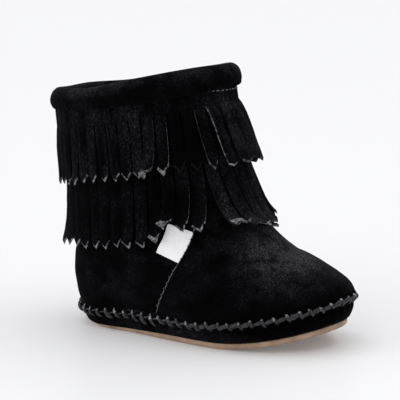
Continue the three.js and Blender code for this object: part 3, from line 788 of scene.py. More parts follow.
def makeUpper():
    levels = np.concatenate([
        np.linspace(0.45, 8, upperLook["rows"]),
        np.linspace(8, topLevel, upperLook["topRows"])[1:],
    ])
    lap = lapShares()
    rings = []
    # the lower edge turned out, by distance out and height over the seam
    ridge = [(-foot["wall"], 0.0), (0.1, 0.0), (0.6, 0.0), (0.9, 0.35), (0.8, 0.85), (0.3, 1.2),
             (0.0, 1.9)]
    atSeam = upperColumns(0.0)
    between = pucker(atSeam)
    for grow, height in ridge:
        bulge = grow - (0.35 * (1 - between) if grow > 0 else 0)
        step = foot["lap"] * lap * (1 if height > 1 else 0)
        out = bulge + step - seamTuck(atSeam)
        rings.append(solePoint(atSeam, out, foot["seamHeight"] + height, 1.0))
    for level in levels:
        angles = upperColumns(level)
        base = upperBase(level, angles)
        # just above the seam the wall still follows the dropped heel
        follow = np.clip(1 - (level - 0.3) / 1.4, 0, 1) ** 2
        step = foot["lap"] * readRows(upperRows, "level", "lap", level) * lap
        relief = upperRelief(np.full(angles.shape, level), angles, base)
        point = base + upperNormal(level, angles) * (step + relief - follow * seamTuck(angles))[:, None]
        point[:, 2] -= heelDrop(base[:, 0]) * follow
        rings.append(point)
    outerRows = len(rings)
    for level in levels[::-3]:
        angles = upperColumns(level)
        rings.append(upperPoint(level, angles, -foot["wall"]))
    faces = gridFaces(len(rings), len(atSeam), closeRows=True)
    row = np.repeat(np.arange(len(rings)), len(atSeam))
    column = np.tile(np.arange(len(atSeam)), len(rings))
    fromHeel = np.minimum(column, len(atSeam) - 1 - column)
    quarter = upperLook["quarterColumns"]
    cut = (fromHeel >= quarter - 1) & (fromHeel <= quarter)
    cut &= (row >= len(ridge)) & (row < outerRows - upperLook["bareRows"])
    slots = np.where(row >= outerRows - 1, 1, np.where(cut, 2, 0))
    return makePiece("upperSuede", np.concatenate(rings), faces, [blackSuede, lining, cutEdgeAndHighlight], slots,
                     sharp=60, node="upper")


makeUpper()
print("upper done")

# Suede bottom: the tray that turns up to the seam
trayLook = {
    "columns": 720,
    "floor": foot["soleThickness"] + foot["clear"],
    "wall": 1.5,
    "heelSag": 2.5,  # the soft bottom hangs this far over the sole's edge at the heel
    "sagEnd": 0.5,  # and by this share of the length only as far as at the toe
    "toeSag": 0.5,
    "reach": 14,  # how far in from the outline its floor is drawn
}


def makeBottom():
    angles = ringAngles(trayLook["columns"])
    top = foot["seamHeight"] - foot["clear"]
    floor = trayLook["floor"]
    wall = trayLook["wall"]
    inset = -foot["soleInset"]
    between = pucker(angles)
    # distance out, height, how far it is drawn in at each stitch; the first three lie on the sole
    profile = [
        (inset - 1.5, floor, 0), (inset + 0.2, floor + 0.05, 0), (inset + 1.0, floor + 0.4, 0.1),
        (-0.6, floor + 1.2, 0.2), (-0.1, floor + 2.1, 0.4), (0.1, floor + 3.1, 0.7),
        (0.05, floor + 4.1, 1.0), (0.1, top - 1.5, 1.0), (0.5, top - 1.05, 0.9),
        (0.85, top - 0.75, 0.9), (0.95, top - 0.3, 0.9), (0.7, top, 0.6), (-wall, top, 0),
    ]
    # and the inside, which follows the sole alone
    inside = [(-wall - 0.3, floor + wall + 0.3), (-wall - 2.2, floor + wall),
              (-trayLook["reach"], floor + wall)]
    near = np.clip(1 - outlineBase(angles)[:, 0] / (trayLook["sagEnd"] * foot["length"]), 0, 1)
    sag = mix(trayLook["toeSag"], trayLook["heelSag"], near)
    sagShares = [0, 1, 1, 0.5]
    rings = [solePoint(angles, -trayLook["reach"], floor)]
    for i, (grow, height, pull) in enumerate(profile):
        followed = max(0, min(1, (height - floor) / (top - 1.5 - floor)))
        tuck = soleTuck(angles) * mix(1.0, 0.4, min(i, 6) / 6)
        if i < len(sagShares):
            height = height - sag * sagShares[i]
        lumps = 0.12 * wave(solePoint(angles, grow - tuck, height, followed), 5, 4.0) * pull
        shaped = grow - tuck - 0.5 * pull * (1 - between) + 0.15 * pull * between + lumps
        rings.append(solePoint(angles, shaped, height, followed))
    rings += [solePoint(angles, grow, height) for grow, height in inside]
    return makePiece("moccasinBottom", *closedSkin(rings), [blackSuede], sharp=60, node="suede_bottom")


makeBottom()
print("suede bottom done")


def makeWhipStitches():
    joined = Joined()
    top = foot["seamHeight"]
    over = foot["lipOut"] + whip["standOff"]
    steps = np.linspace(0, 1, 15)
    back = np.linspace(0, 1, 12)
    for k in range(stitchCount):
        along = outlineBase(angleAtStitch(k))[0] / foot["length"]
        look = {key: readRows(whipRows, "along", key, along) for key in whipRows if key != "along"}
        draws = np.clip(rng.normal(0, 1, len(whip["stray"])), -2, 2)
        stray = {key: whip["stray"][key] * draw for key, draw in zip(whip["stray"], draws)}
        lean = look["slant"] + stray["lean"]
        rise = look["rise"] * (1 + stray["rise"])
        drop = look["drop"] * (1 + stray["drop"])
        radius = look["radius"] * (1 + stray["radius"])
        # from the upper's hole over the two ridges, leaning forward, down to the bottom's hole
        angles = angleAtStitch(k + stray["place"] - lean * (0.5 - steps))
        grow = mix(-0.7, over, np.clip(np.sin(np.pi * steps), 0, 1) ** 0.5) + 0.15 - seamTuck(angles)
        route = solePoint(angles, grow, top + mix(rise, -drop, steps), 1.0)
        radii = radius * (0.4 + 0.6 * np.sin(np.pi * np.clip(steps**1.25, 0.02, 0.98)) ** 0.7)
        radii = radii * (1 + 0.22 * wave(route, 1.1, k * 0.7))
        normals = solePoint(angles, grow + 1, top + mix(rise, -drop, steps), 1.0) - route
        points, faces = tube(route, radii, whip["sides"], squash=0.7, flatWay=normals)
        # the head is painted pale as a highlight where it comes out of the upper, on some further than on
        # others
        slots = np.zeros(len(faces), int)
        slots[whip["sides"]:whip["sides"] * (3 + k * 7 % 4)] = 1
        joined.add(points, faces, slots)
        # the strand that lies along the ridge to the next stitch
        angles = angleAtStitch(k + 0.04 + 0.92 * back)
        height = mix(-0.9, 0.1, back) + stray["strandHeight"] * np.sin(np.pi * back)
        grow = mix(0.4, over - 0.25, np.sin(np.pi * back) ** 0.5) - seamTuck(angles)
        route = solePoint(angles, grow, top + height, 1.0)
        radii = look["strand"] * (1 + stray["strand"]) * (0.65 + 0.35 * np.sin(np.pi * back))
        radii = radii * (1 + 0.25 * wave(route, 1.1, k * 0.9))
        joined.add(*tube(route, radii, whip["strandSides"]))
    return makePiece("whipStitches", joined.points, joined.faces, [waxedThread, paleHighlightThread],
                     joined.slots, sharp=80)


makeWhipStitches()
print("whipped seam done", stitchCount, "stitches")

# Side seams: small stitches along the vamp's edge
seamStitch = {
    "length": 2.3,
    "gap": 0.7,
    "radius": 0.17,
    "behind": 0.9,  # from the vamp's cut edge
    "tick": 0.7,  # how far the short cross stitches reach over the edge
    "topLevel": 7.2,
}


def seamRoute(level, side, ahead, out):
    # beside the side seam, a distance ahead of the vamp's cut edge
    angle = seamAngle(level)
    angle = side * (angle + ahead / (foot["length"] * 0.5 * np.abs(np.sin(angle))))
    lap = foot["lap"] * readRows(upperRows, "level", "lap", level) * np.clip(0.5 + 2 * ahead, 0, 1)
    relief = upperRelief(level, angle, upperBase(level, angle))
    return upperPoint(level, angle, lap + relief + out)


def makeSideStitches():
    joined = Joined()
    steps = np.linspace(0, 1, 6)
    bow = np.sin(np.pi * steps)
    for side in (1, -1):
        levels = np.linspace(0.8, seamStitch["topLevel"], 400)
        line = upperBase(levels, side * seamAngle(levels))
        run = runAlong(line)
        pitch = seamStitch["length"] + seamStitch["gap"]
        for k in range(int(run[-1] / pitch)):
            level = np.interp(k * pitch + steps * seamStitch["length"], run, levels)
            route = seamRoute(level, side, seamStitch["behind"], mix(-0.2, 0.14, bow))
            joined.add(*tube(route, seamStitch["radius"]))
            # a short one across to the vamp
            level = np.interp((k + 1) * pitch - 0.5 * seamStitch["gap"] + 0.5 * steps, run, levels)
            route = seamRoute(level, side, mix(seamStitch["behind"], -seamStitch["tick"], steps),
                              mix(-0.1, 0.2, bow))
            joined.add(*tube(route, seamStitch["radius"] * 0.9))
    return makePiece("sideSeamStitches", joined.points, joined.faces, [seamThread], sharp=80)


makeSideStitches()
print("side seams done")

# Rolled collar
collar = {
    "depth": 7.8,
    "roll": 3.9,
    "liningLeg": 1.4,
    "columns": 600,
    "rows": 64,
    "lumps": 0.3,
    "folds": 0.22,  # narrower than the lumps, and upright
    "nap": 0.28,  # mm, the roughness of its outline
    "tucks": 78,  # where its lower edge is drawn in
    "tuckDepth": 0.3,
    "seamLength": 230,
    "seamOut": 1.6,  # how far from the shaft the stitches lie
    "stitchPitch": 2.6,
    "stitchLength": 1.5,
    "stitchRadius": 0.22,
}
# how much higher in mm the roll's crown and lower edge lie and how far the stitches show below it,
# by turn from the heel (0) round the outer side to the front (1) and back along the inner side
collarRows = {
    "turn": [0, 0.15, 0.3, 0.42, 0.6, 0.8, 1.0, 1.3, 1.5, 1.7, 1.87, 2.0],
    "crown": [0.6, 1.0, 0.3, -0.9, -0.2, 0.2, -0.3, -0.8, -2.0, -1.2, 0.6, 0.6],
    "hem": [1.4, 2.2, 1.6, 0.2, -0.2, -0.1, 0, 0, 0.3, 0.8, 1.2, 1.4],
    "below": [-0.8, -0.8, -0.8, -0.8, -1.0, -0.8, 0.8, 0.3, -0.6, -0.8, -0.8, -0.8],
}


def collarPoint(angle, out, up):
    turn = np.mod(angle, 2 * np.pi) / np.pi
    crown = readRows(collarRows, "turn", "crown", turn)
    hem = readRows(collarRows, "turn", "hem", turn)
    up = up + mix(crown, hem, np.clip(-np.asarray(up) / collar["depth"], 0, 1) ** 0.8)
    level = np.where(up < 0, levelAtDepth(angle, np.maximum(0, -np.asarray(up))), float(topLevel))
    point = upperPoint(level, angle, out)
    rise = upperBase(topLevel, angle) - upperBase(topLevel - 0.2, angle)
    rise /= np.linalg.norm(rise, axis=-1, keepdims=True)
    return point + rise * np.maximum(0, up)[..., None]


def smoothLoop(points, count):
    # a closed smooth curve through hand-set corners
    p = np.asarray(points, float)
    t = np.linspace(0, len(p), count, endpoint=False)
    i = t.astype(int)
    u = (t - i)[:, None]
    a, b, c, d = (p[(i + k) % len(p)] for k in (-1, 0, 1, 2))
    return 0.5 * (2 * b + (c - a) * u + (2 * a - 5 * b + 4 * c - d) * u**2 + (3 * b - a - 3 * c + d) * u**3)


def makeCollar():
    inside = -foot["wall"] - foot["clear"]
    leg = inside - collar["liningLeg"]
    depth, roll = collar["depth"], collar["roll"]
    # the roll's section by distance out and height, down and round from its lower edge outside
    corners = [
        (0.3, -depth + 0.9), (0.9, -depth + 0.1), (roll * 0.5, -depth + 0.05), (roll * 0.82, -depth * 0.87),
        (roll * 1.0, -depth * 0.56), (roll * 0.96, -depth * 0.22), (roll * 0.72, 0.5), (roll * 0.32, 2.1),
        (-0.3, 2.6), (-1.8, 2.4), (leg - 0.1, 1.1), (leg - 0.1, -1.5), (leg, -depth * 0.5),
        (leg, -depth * 0.8), (inside, -depth * 0.8), (inside, -depth * 0.3), (inside, 0.3), (-0.8, 0.4),
        (0.3, 0.3), (0.3, -depth * 0.4),
    ]
    section = smoothLoop(corners, collar["rows"])
    angles = ringAngles(collar["columns"])
    rings = []
    for out, up in section:
        point = collarPoint(angles, out, up)
        soft = np.clip((out + 0.5) / 2.5, 0, 1)
        lumps = collar["lumps"] * wave(point, 9, 2.0)
        lumps += collar["folds"] * wave(point * [1, 1, 0.25], 4, 5.0)
        lumps += collar["nap"] * wave(point, 1.8, 7.0)
        # the roll is drawn in where its lower edge is stitched
        pull = np.exp(-((up + depth) / 1.6) ** 2) * collar["tuckDepth"] * np.cos(angles * collar["tucks"])
        rings.append(collarPoint(angles, out + soft * (lumps + pull), up))
    faces = gridFaces(len(rings), len(angles), closeRows=True)
    lined = (section[:, 0] < leg + 0.8) & (section[:, 1] < 0.5)
    slots = np.repeat(lined, len(angles))
    piece = makePiece("rolledCollar", np.concatenate(rings), faces, [blackSuede, lining], slots,
                      sharp=80, node="rolled_collar")
    return piece


makeCollar()


def makeCollarStitches():
    joined = Joined()
    angles = evenAngles(topLevel - 0.5, int(collar["seamLength"] / collar["stitchPitch"]))
    steps = np.linspace(0, 1, 6)
    bow = np.sin(np.pi * steps)
    for start, end in zip(angles[:-1], angles[1:]):
        angle = mix(start, end, steps * collar["stitchLength"] / collar["stitchPitch"])
        turn = np.mod(angle, 2 * np.pi) / np.pi
        below = readRows(collarRows, "turn", "below", turn) - readRows(collarRows, "turn", "hem", turn)
        level = levelAtDepth(angle, collar["depth"] + below)
        route = upperPoint(level, angle, collar["seamOut"] + mix(-0.2, 0.12, bow))
        joined.add(*tube(route, collar["stitchRadius"]))
    # these stitches take the paler thread: painted highlight
    return makePiece("collarStitches", joined.points, joined.faces, [paleHighlightThread], sharp=80)


makeCollarStitches()
print("collar done")

# Fringes: each is one band of suede, cut into strips from its hem up
fringeLook = {
    "leather": 1.25,
    "band": 5.2,
    "point": 3.2,
    "pointReach": 4.5,  # how far up from the hem the rows bend to its point
    "slit": 0.8,
    "slant": 0.42,  # of the hem's cut, in rows
    "tuckUnder": 2.6,  # how far the band goes on up, out of sight
    "uneven": 0.3,  # mm between one strip's length and another's
    "kickStray": 2.0,
    "curl": 6,  # degrees at the hem, where a strip has none listed
    "curlStray": 8,
    "turnStray": 7,
    "wander": 0.12,
    "cup": 0.4,  # how far a strip's edges turn in
    "cupStray": 0.2,
    "lumps": 0.1,
    "rows": 20,
    "columns": 7,
}
standOffRows = {"down": [0.0, 0.3, 0.6, 1.0], "out": [0.3, 0.8, 2.0, 3.4]}
# by share of the way from heel (0) to front (1), in mm where nothing else is said: how much longer,
# how far the band stands out, how much more the strips puff out below it, their kick at the hem in
# degrees, the gap between two hems, how far the strips stray, and the hem's swing to the front
upperFringe = {
    "strips": 40,
    "start": 0.5,  # how far past the heel the first slit lies, in strips
    "top": 8.1,
    "length": 28.0,
    "turn": [0.0, 0.2, 0.4, 0.6, 0.8, 0.9, 1.0],
    "longer": [0.0, 0.0, 0.2, 0.6, 1.6, 3.4, 4.0],
    "bandOut": [1.3, 0.7, 0.0, 0.0, 0.0, 0.0, 0.0],
    "puff": [1.6, 0.6, 0.1, 0.2, 0.8, 2.8, 4.2],
    "kick": [-8.0, -3.0, 2.0, 2.0, 3.0, 0.0, -2.0],
    "gap": [0.7, 0.7, 0.5, 0.6, 0.8, 0.8, 0.8],
    "stray": [0.6, 0.6, 0.6, 0.6, 0.8, 0.5, 0.5],
    "swing": [0.0, -0.3, -0.6, -0.9, -0.3, 0.0, 0.0],
}
# single strips, counted from the heel: curl and kick in degrees, lean in mm all the way down,
# turn in degrees with the front edge out, point in mm for a hem that isn't cut as the others, how the
# cut sides and hem look (pale, or darker copies that paint shade), and the rows over the hem painted pale
# as a highlight
upperByHand = [
    {"strip": 4, "turn": -4},
    {"strip": 5, "turn": 4},
    {"strip": 6, "turn": -6},
    {"strip": 7, "turn": 6},
    {"strip": 8, "turn": -4},
    {"strip": 9, "turn": 5},
    {"strip": 10, "turn": -6},
    {"strip": 11, "turn": 6},
    {"strip": 12, "longer": 1.0, "curl": 64, "swing": -2.4, "turn": 5, "side": "halfShaded", "paintedHighlightRows": 3},
    {"strip": 13, "longer": -0.2, "curl": 44, "swing": -1.2, "turn": 17, "side": "pale", "paintedHighlightRows": 2},
    {"strip": 14, "longer": -0.6, "kick": 3, "swing": -0.6, "turn": -4, "hem": "shaded"},
    {"strip": 15, "longer": -0.4, "swing": -0.2, "turn": -5, "hem": "shaded"},
    {"strip": 16, "lean": 0.4, "swing": 0.2, "kick": 2, "narrow": 0.8, "turn": -8, "side": "halfShaded",
     "hem": "halfShaded"},
    {"strip": 17, "lean": 0.8, "kick": 5, "puff": 0.6, "turn": -17, "side": "pale", "point": 1.0},
    {"strip": 18, "lean": -0.2, "kick": 3, "puff": 0.6, "turn": -4, "point": 1.4, "hem": "halfShaded"},
    {"strip": 19, "lean": 0.4, "kick": 2, "turn": -9, "side": "halfShaded", "hem": "shaded", "point": 1.0},
    {"strip": 20, "lean": 0.4, "hem": "halfShaded", "point": 1.4},
    {"strip": 23, "lean": -1.4, "kick": 4},
    {"strip": 24, "lean": -2.6, "swing": -0.8, "kick": 7, "turn": 10},
    {"strip": 27, "longer": -0.8, "curl": 24},
    {"strip": 33, "longer": -0.6, "curl": 18, "swing": 0.8},
]
lowerFringe = {
    "strips": 36,
    "start": 0.0,
    "top": 30.3,
    "length": 33.4,
    "turn": [0.0, 0.15, 0.3, 0.45, 0.6, 0.8, 1.0],
    "longer": [0.0, -0.2, -0.2, 0.2, -0.8, 0.6, 2.8],
    "bandOut": [1.0, 0.6, 0.0, 0.0, 0.0, 0.0, 0.0],
    "puff": [0.4, 0.2, 0.1, 0.1, 0.1, 0.4, 0.4],
    "kick": [7.0, 5.0, 2.0, 2.0, 2.0, 3.0, 2.0],
    "gap": [0.6, 0.6, 0.6, 0.6, 0.8, 1.0, 1.0],
    "stray": [0.4, 0.5, 0.5, 0.5, 0.5, 0.7, 0.6],
    "swing": [0.0, -0.2, -2.4, -5.2, -5.4, -5.6, 0.0],
}
lowerByHand = [
    {"strip": 0, "curl": 4},
    {"strip": 1, "curl": 4},
    {"strip": 3, "turn": -8},
    {"strip": 4, "turn": -4},
    {"strip": 5, "turn": -12},
    {"strip": 6, "turn": -5},
    {"strip": 7, "turn": -11},
    {"strip": 8, "turn": -4},
    {"strip": 9, "longer": 0.8, "turn": -9},
    {"strip": 10, "longer": 1.8, "curl": 14},
    {"strip": 11, "longer": 1.0, "curl": 34, "paintedHighlightRows": 2},
    {"strip": 12, "longer": -3.0, "curl": 70, "turn": -8, "paintedHighlightRows": 3},
    {"strip": 13, "longer": -1.6, "curl": 30, "turn": 20, "side": "pale"},
    {"strip": 14, "longer": -1.6, "curl": 24, "turn": 20, "kick": 2, "side": "pale"},
    {"strip": 15, "longer": 6.4, "swing": 7.0, "kick": 3, "curl": 84, "turn": -12, "point": 1.6,
     "paintedHighlightRows": 5},
    {"strip": 16, "longer": 6.4, "swing": 4.4, "kick": 3, "curl": 60, "turn": -10, "paintedHighlightRows": 2},
    {"strip": 17, "longer": 4.4, "swing": 1.6, "kick": -2, "curl": 44, "hem": "halfShaded", "point": 1.4},
    {"strip": 18, "longer": 0.2, "curl": 30, "kick": -5, "hem": "halfShaded", "point": 1.4},
    {"strip": 19, "longer": -0.6, "swing": -0.8, "curl": 24, "kick": -9, "hem": "halfShaded", "point": 1.6},
    {"strip": 20, "curl": 16, "kick": -5, "hem": "halfShaded"},
    {"strip": 21, "swing": -1.0, "curl": 30},
    {"strip": 24, "longer": -3.4, "curl": 30, "swing": 1.2},
]


def stripGrid(fringe, strip, hand, start, end):
    # middle skin of one strip, with the surface's own normals under the band
    centre = (start + end) / 2
    turn = 1 - abs(centre / np.pi - 1)
    front = 1 if centre < np.pi else -1
    look = {key: readRows(fringe, "turn", key, turn)
            for key in ("longer", "bandOut", "puff", "kick", "gap", "stray", "swing")}
    stray, tilt, uneven = rng.normal(size=3)
    length = fringe["length"] + look["longer"] + hand.get("longer", 0) + fringeLook["uneven"] * uneven
    puff = look["puff"] + hand.get("puff", 0)
    kick = math.radians(look["kick"] + hand.get("kick", 0) + fringeLook["kickStray"] * tilt)
    curl = math.radians(hand.get("curl", fringeLook["curl"] + fringeLook["curlStray"] * abs(tilt)))
    swing = (look["swing"] + hand.get("swing", 0)) * front
    swing += look["stray"] * np.clip(stray, -1.6, 1.6) * 0.5
    lean = hand.get("lean", 0) * front
    edgeOut = math.radians(hand.get("turn", fringeLook["turnStray"] * np.clip(tilt, -1.5, 1.5)))

    rows = fringeLook["rows"]
    band = fringeLook["band"]
    along = np.linspace(band, length, rows - 2)
    along = np.concatenate([[-fringeLook["tuckUnder"], 0.5 * band], along])
    loose = np.clip((along - band) / (length - band), 0, None)
    bend = kick * loose**1.5 + curl * loose**6
    step = np.diff(along, prepend=0)
    step[0] = along[0]
    down = np.cumsum(np.cos(bend) * step)
    out = np.cumsum(np.sin(bend) * step) + puff * (1 - np.exp(-loose * 7))
    # a strip keeps its width in mm where the shaft under it grows wider or narrower
    levels = levelAtDepth(centre, fringe["top"] + down)
    beside = upperBase(levels, centre + 0.01) - upperBase(levels, centre - 0.01)
    perMm = 0.02 / np.linalg.norm(beside, axis=-1)
    across = np.linspace(-1, 1, fringeLook["columns"])
    line = np.stack([along, 0 * along, 0 * along], -1)
    wander = fringeLook["wander"] * wave(line, 3.0, strip * 2.3)
    narrow = fringeLook["slit"] * (loose > 0) + (look["gap"] + hand.get("narrow", 0)) * loose**2
    halfWidth = (end - start) / 2 / perMm[2] - narrow / 2
    free = np.clip(loose * 3, 0, 1)
    half = halfWidth * perMm * (1 - free * (1 - math.cos(edgeOut)))
    half = np.where(loose > 0, half, (end - start) / 2)
    middle = centre + (lean * loose + (swing + wander) * loose**2) * perMm
    angle = middle[:, None] + across * half[:, None]
    pointed = hand.get("point", fringeLook["point"]) * (0.5 - np.abs(across))
    blunt = np.clip(1 + (along - length) / fringeLook["pointReach"], 0, 1) ** 1.6
    depth = fringe["top"] + down[:, None] + blunt[:, None] * pointed
    turned = math.sin(edgeOut) * front * across * (halfWidth * free)[:, None]
    cup = (fringeLook["cup"] + fringeLook["cupStray"] * stray) * across**2 * free[:, None]
    share = np.clip(depth - fringe["top"], 0, None) / fringe["length"]
    off = readRows(standOffRows, "down", "out", share) + out[:, None] + turned - cup
    off = off + look["bandOut"] * (1 - 0.5 * loose)[:, None]
    off = off + fringeLook["leather"] / 2 + abs(math.sin(edgeOut)) * (halfWidth * free)[:, None] * 0.6
    level = levelAtDepth(angle, depth)
    skin = upperPoint(level, angle, off)
    normal = upperNormal(level, angle)
    own = np.cross(np.gradient(skin, axis=0), np.gradient(skin, axis=1))
    own /= np.linalg.norm(own, axis=-1, keepdims=True)
    own *= np.sign(np.sum(own * normal, axis=-1, keepdims=True))
    ease = np.clip(loose * 5, 0, 1)[:, None, None]
    normal = normal * (1 - ease) + own * ease
    return skin, normal / np.linalg.norm(normal, axis=-1, keepdims=True), loose


# places of the cut edges' materials on a fringe
cutSlots = {"pale": 1, "shaded": 2, "halfShaded": 3}


def makeFringe(name, fringe, byHand, material, node):
    count = fringe["strips"]
    hand = {row["strip"]: row for row in byHand}
    angles = evenAngles(levelAtDepth(0.0, fringe["top"] + fringe["length"] / 2), count)
    angles = angles + fringe["start"] * angles[1]
    rows, columns = fringeLook["rows"], fringeLook["columns"]
    joined = Joined()
    for k in range(count):
        own = hand.get(k, {})
        skin, normal, loose = stripGrid(fringe, k, own, angles[k], angles[k + 1])
        lumps = fringeLook["lumps"] * wave(skin, 3.0, k * 1.7)[..., None]
        lumps = lumps * np.clip(loose * 3, 0, 1)[:, None, None]
        thick = fringeLook["leather"] / 2 * (1 - 0.5 * np.clip(loose, 0, 1) ** 9)[:, None, None]
        front = skin + normal * (thick + lumps)
        back = skin - normal * (thick - lumps)
        # the knife leaves the hem slanted, so its pale edge looks out
        front[-1] = mix(front[-1], front[-2], fringeLook["slant"])
        points = np.concatenate([front.reshape(-1, 3), back.reshape(-1, 3)])
        layer = rows * columns
        # rows over the hem get the pale cut edge as a painted highlight on the curled end
        highlightFrom = rows - own.get("paintedHighlightRows", 0)
        faces, slots = [], []
        for a, b, c, d in gridFaces(rows, columns, closeColumns=False):
            faces += [(a, b, c, d), (layer + d, layer + c, layer + b, layer + a)]
            slots += [cutSlots["pale"] if a // columns >= highlightFrom else 0, 0]
        for r in range(2, rows - 1):
            for a in (r * columns, r * columns + columns - 1):
                faces.append((a, layer + a, layer + a + columns, a + columns))
                # side faces take the deepest painted shade unless listed, as between two strips
                slots.append(cutSlots[own.get("side", "shaded")])
        for first in (0, (rows - 1) * columns):
            for a in range(first, first + columns - 1):
                faces.append((a, a + 1, layer + a + 1, layer + a))
                slots.append(cutSlots[own.get("hem", "pale")])
        joined.add(points, faces, slots)
    # neighbours share their edge in the band
    points = np.array(joined.points)
    _, first, same = np.unique(np.round(points, 3), axis=0, return_index=True, return_inverse=True)
    faces = [tuple(same.ravel()[list(face)]) for face in joined.faces]
    return makePiece(name, points[first], faces, [material, cutEdgeAndHighlight, shadedCut, halfShadedCut],
                     joined.slots, sharp=50, node=node)


makeFringe("upperFringe", upperFringe, upperByHand, fringeSuede, "upper_fringe")
makeFringe("lowerFringe", lowerFringe, lowerByHand, shadedLowFringeSuede, "lower_fringe")
print("fringes done")

# Label: a blank ribbon caught in the outer side seam
label = {
    "width": 11,
    "length": 13.2,
    "thickness": 0.45,
    "rise": 25,  # its lower corner over the whipped seam
    "caught": 0.4,  # in the side seam
    "clear": 0.35,  # over the suede
    "lift": 0.7,  # of its loose edge
    "bow": 0.35,
    "cornerLift": 0.25,
    "rows": 24,
}


def sidePoint(x, z, out):
    # a point over the upper's outer side at x and z
    def angleAt(level):
        back = readRows(upperRows, "level", "back", level)
        front = readRows(upperRows, "level", "front", level)
        return np.arccos(np.clip(1 - 2 * (x / foot["length"] - back) / (front - back), -1, 1))

    low, high = np.zeros(x.shape), np.full(x.shape, float(topLevel))
    for _ in range(20):
        level = (low + high) / 2
        under = upperBase(level, angleAt(level))[..., 2] < z
        low, high = np.where(under, level, low), np.where(under, high, level)
    angle = angleAt(low)
    relief = upperRelief(low, angle, upperBase(low, angle))
    return upperPoint(low, angle, out + relief)


def seamAtHeight(z):
    levels = np.linspace(0, topLevel, 600)
    line = upperBase(levels, seamAngle(levels))
    return np.stack([np.interp(z, line[:, 2], line[:, axis]) for axis in range(3)], -1)


def makeLabel():
    start = seamAtHeight(foot["seamHeight"] + label["rise"])
    up = seamAtHeight(start[2] + label["length"]) - start
    up[1] = 0
    up /= np.linalg.norm(up)
    n = label["rows"]
    along, share = np.meshgrid(np.linspace(0, 1, n), np.linspace(0, 1, n), indexing="ij")
    seam = seamAtHeight(start[2] + up[2] * along * label["length"])
    behind = -label["caught"] + share * label["width"]
    curl = label["lift"] * share**2 + label["bow"] * np.sin(np.pi * share)
    curl += label["cornerLift"] * (1 - along) ** 2
    x = seam[..., 0] - up[2] * behind
    z = seam[..., 2] + up[0] * behind
    skins = [sidePoint(x, z, curl + label["clear"] + thick) for thick in (0, label["thickness"])]
    points = np.concatenate([skin.reshape(-1, 3) for skin in skins])
    faces = []
    layer = n * n
    for quad in gridFaces(n, n, closeColumns=False):
        faces.append(tuple(quad))
        faces.append(tuple(layer + i for i in reversed(quad)))
    steps = np.arange(n - 1)
    rim = np.concatenate([steps, steps * n + n - 1, n * n - 1 - steps, (n - 1 - steps) * n])
    for a, b in zip(rim, np.roll(rim, -1)):
        faces.append((b, a, layer + a, layer + b))
    return makePiece("blankLabel", points, faces, [labelSatin], sharp=50, slotName="ribbon",
                     node="side_label")


makeLabel()
print("label done")

# Rubber sole
sole = {
    "columns": 480,
    "rimWidth": 4.4,
    "channelWidth": 1.3,
    "fieldDepth": 1.2,
    "channelDepth": 1.7,
    "ribWidth": 3.9,
    "ribPitch": 7.7,
    "ribBow": 2.6,
    "ribSlant": 4.4,
    "ribMargin": 1.6,
    "frontRibs": 8,
    "heelRibs": 5,
    "frontRib": 0.875,  # the first one's place by share of the length
    "heelRib": 0.125,
    "stitchPitch": 4.0,
    "stitchLength": 3.0,
    "stitchRadius": 0.36,
}


def makeSole():
    angles = ringAngles(sole["columns"])
    edge = -foot["soleInset"]
    inner = edge - sole["rimWidth"]
    groove = inner - sole["channelWidth"]
    top = foot["soleThickness"]
    channel, field = sole["channelDepth"], sole["fieldDepth"]
    # distance out and height, from the top over the rounded rim into the channel and the field
    profile = [
        (edge - 12, top), (edge - 0.75, top), (edge - 0.7, top - 0.35), (edge - 0.1, top - 0.42),
        (edge, top - 0.6), (edge, 1.9), (edge - 0.04, 1.3), (edge - 0.2, 0.75), (edge - 0.55, 0.3),
        (edge - 1.1, 0.06), (edge - 1.7, 0), (inner + 0.5, 0), (inner + 0.15, 0.08), (inner, 0.35),
        (inner - 0.15, channel - 0.1), (inner - 0.3, channel), (groove + 0.2, channel),
        (groove, channel - 0.1), (groove - 0.1, field + 0.08), (groove - 0.35, field), (edge - 16, field),
    ]
    rings = [solePoint(angles, grow - soleTuck(angles) * (1.5 - 0.5 * height / top), height)
             for grow, height in profile]
    joined = Joined()
    joined.add(*closedSkin(rings))
    for middle in ribPlaces():
        joined.add(*ribMesh(middle))
    return makePiece("gumSole", joined.points, joined.faces, [rubber], sharp=45, slotName="rubber",
                     node="outsole")


def ribPlaces():
    front = foot["length"] * sole["frontRib"] - np.arange(sole["frontRibs"]) * sole["ribPitch"]
    back = foot["length"] * sole["heelRib"] + np.arange(sole["heelRibs"]) * sole["ribPitch"]
    return np.concatenate([back, front])


def fieldHalf(x, outer):
    inset = foot["soleInset"] + sole["rimWidth"] + sole["channelWidth"] + sole["ribMargin"]
    angles = np.linspace(0, np.pi, 1500) * (1 if outer else -1)
    line = outlinePoint(angles, -inset)
    return abs(np.interp(x, line[:, 0], line[:, 1]))


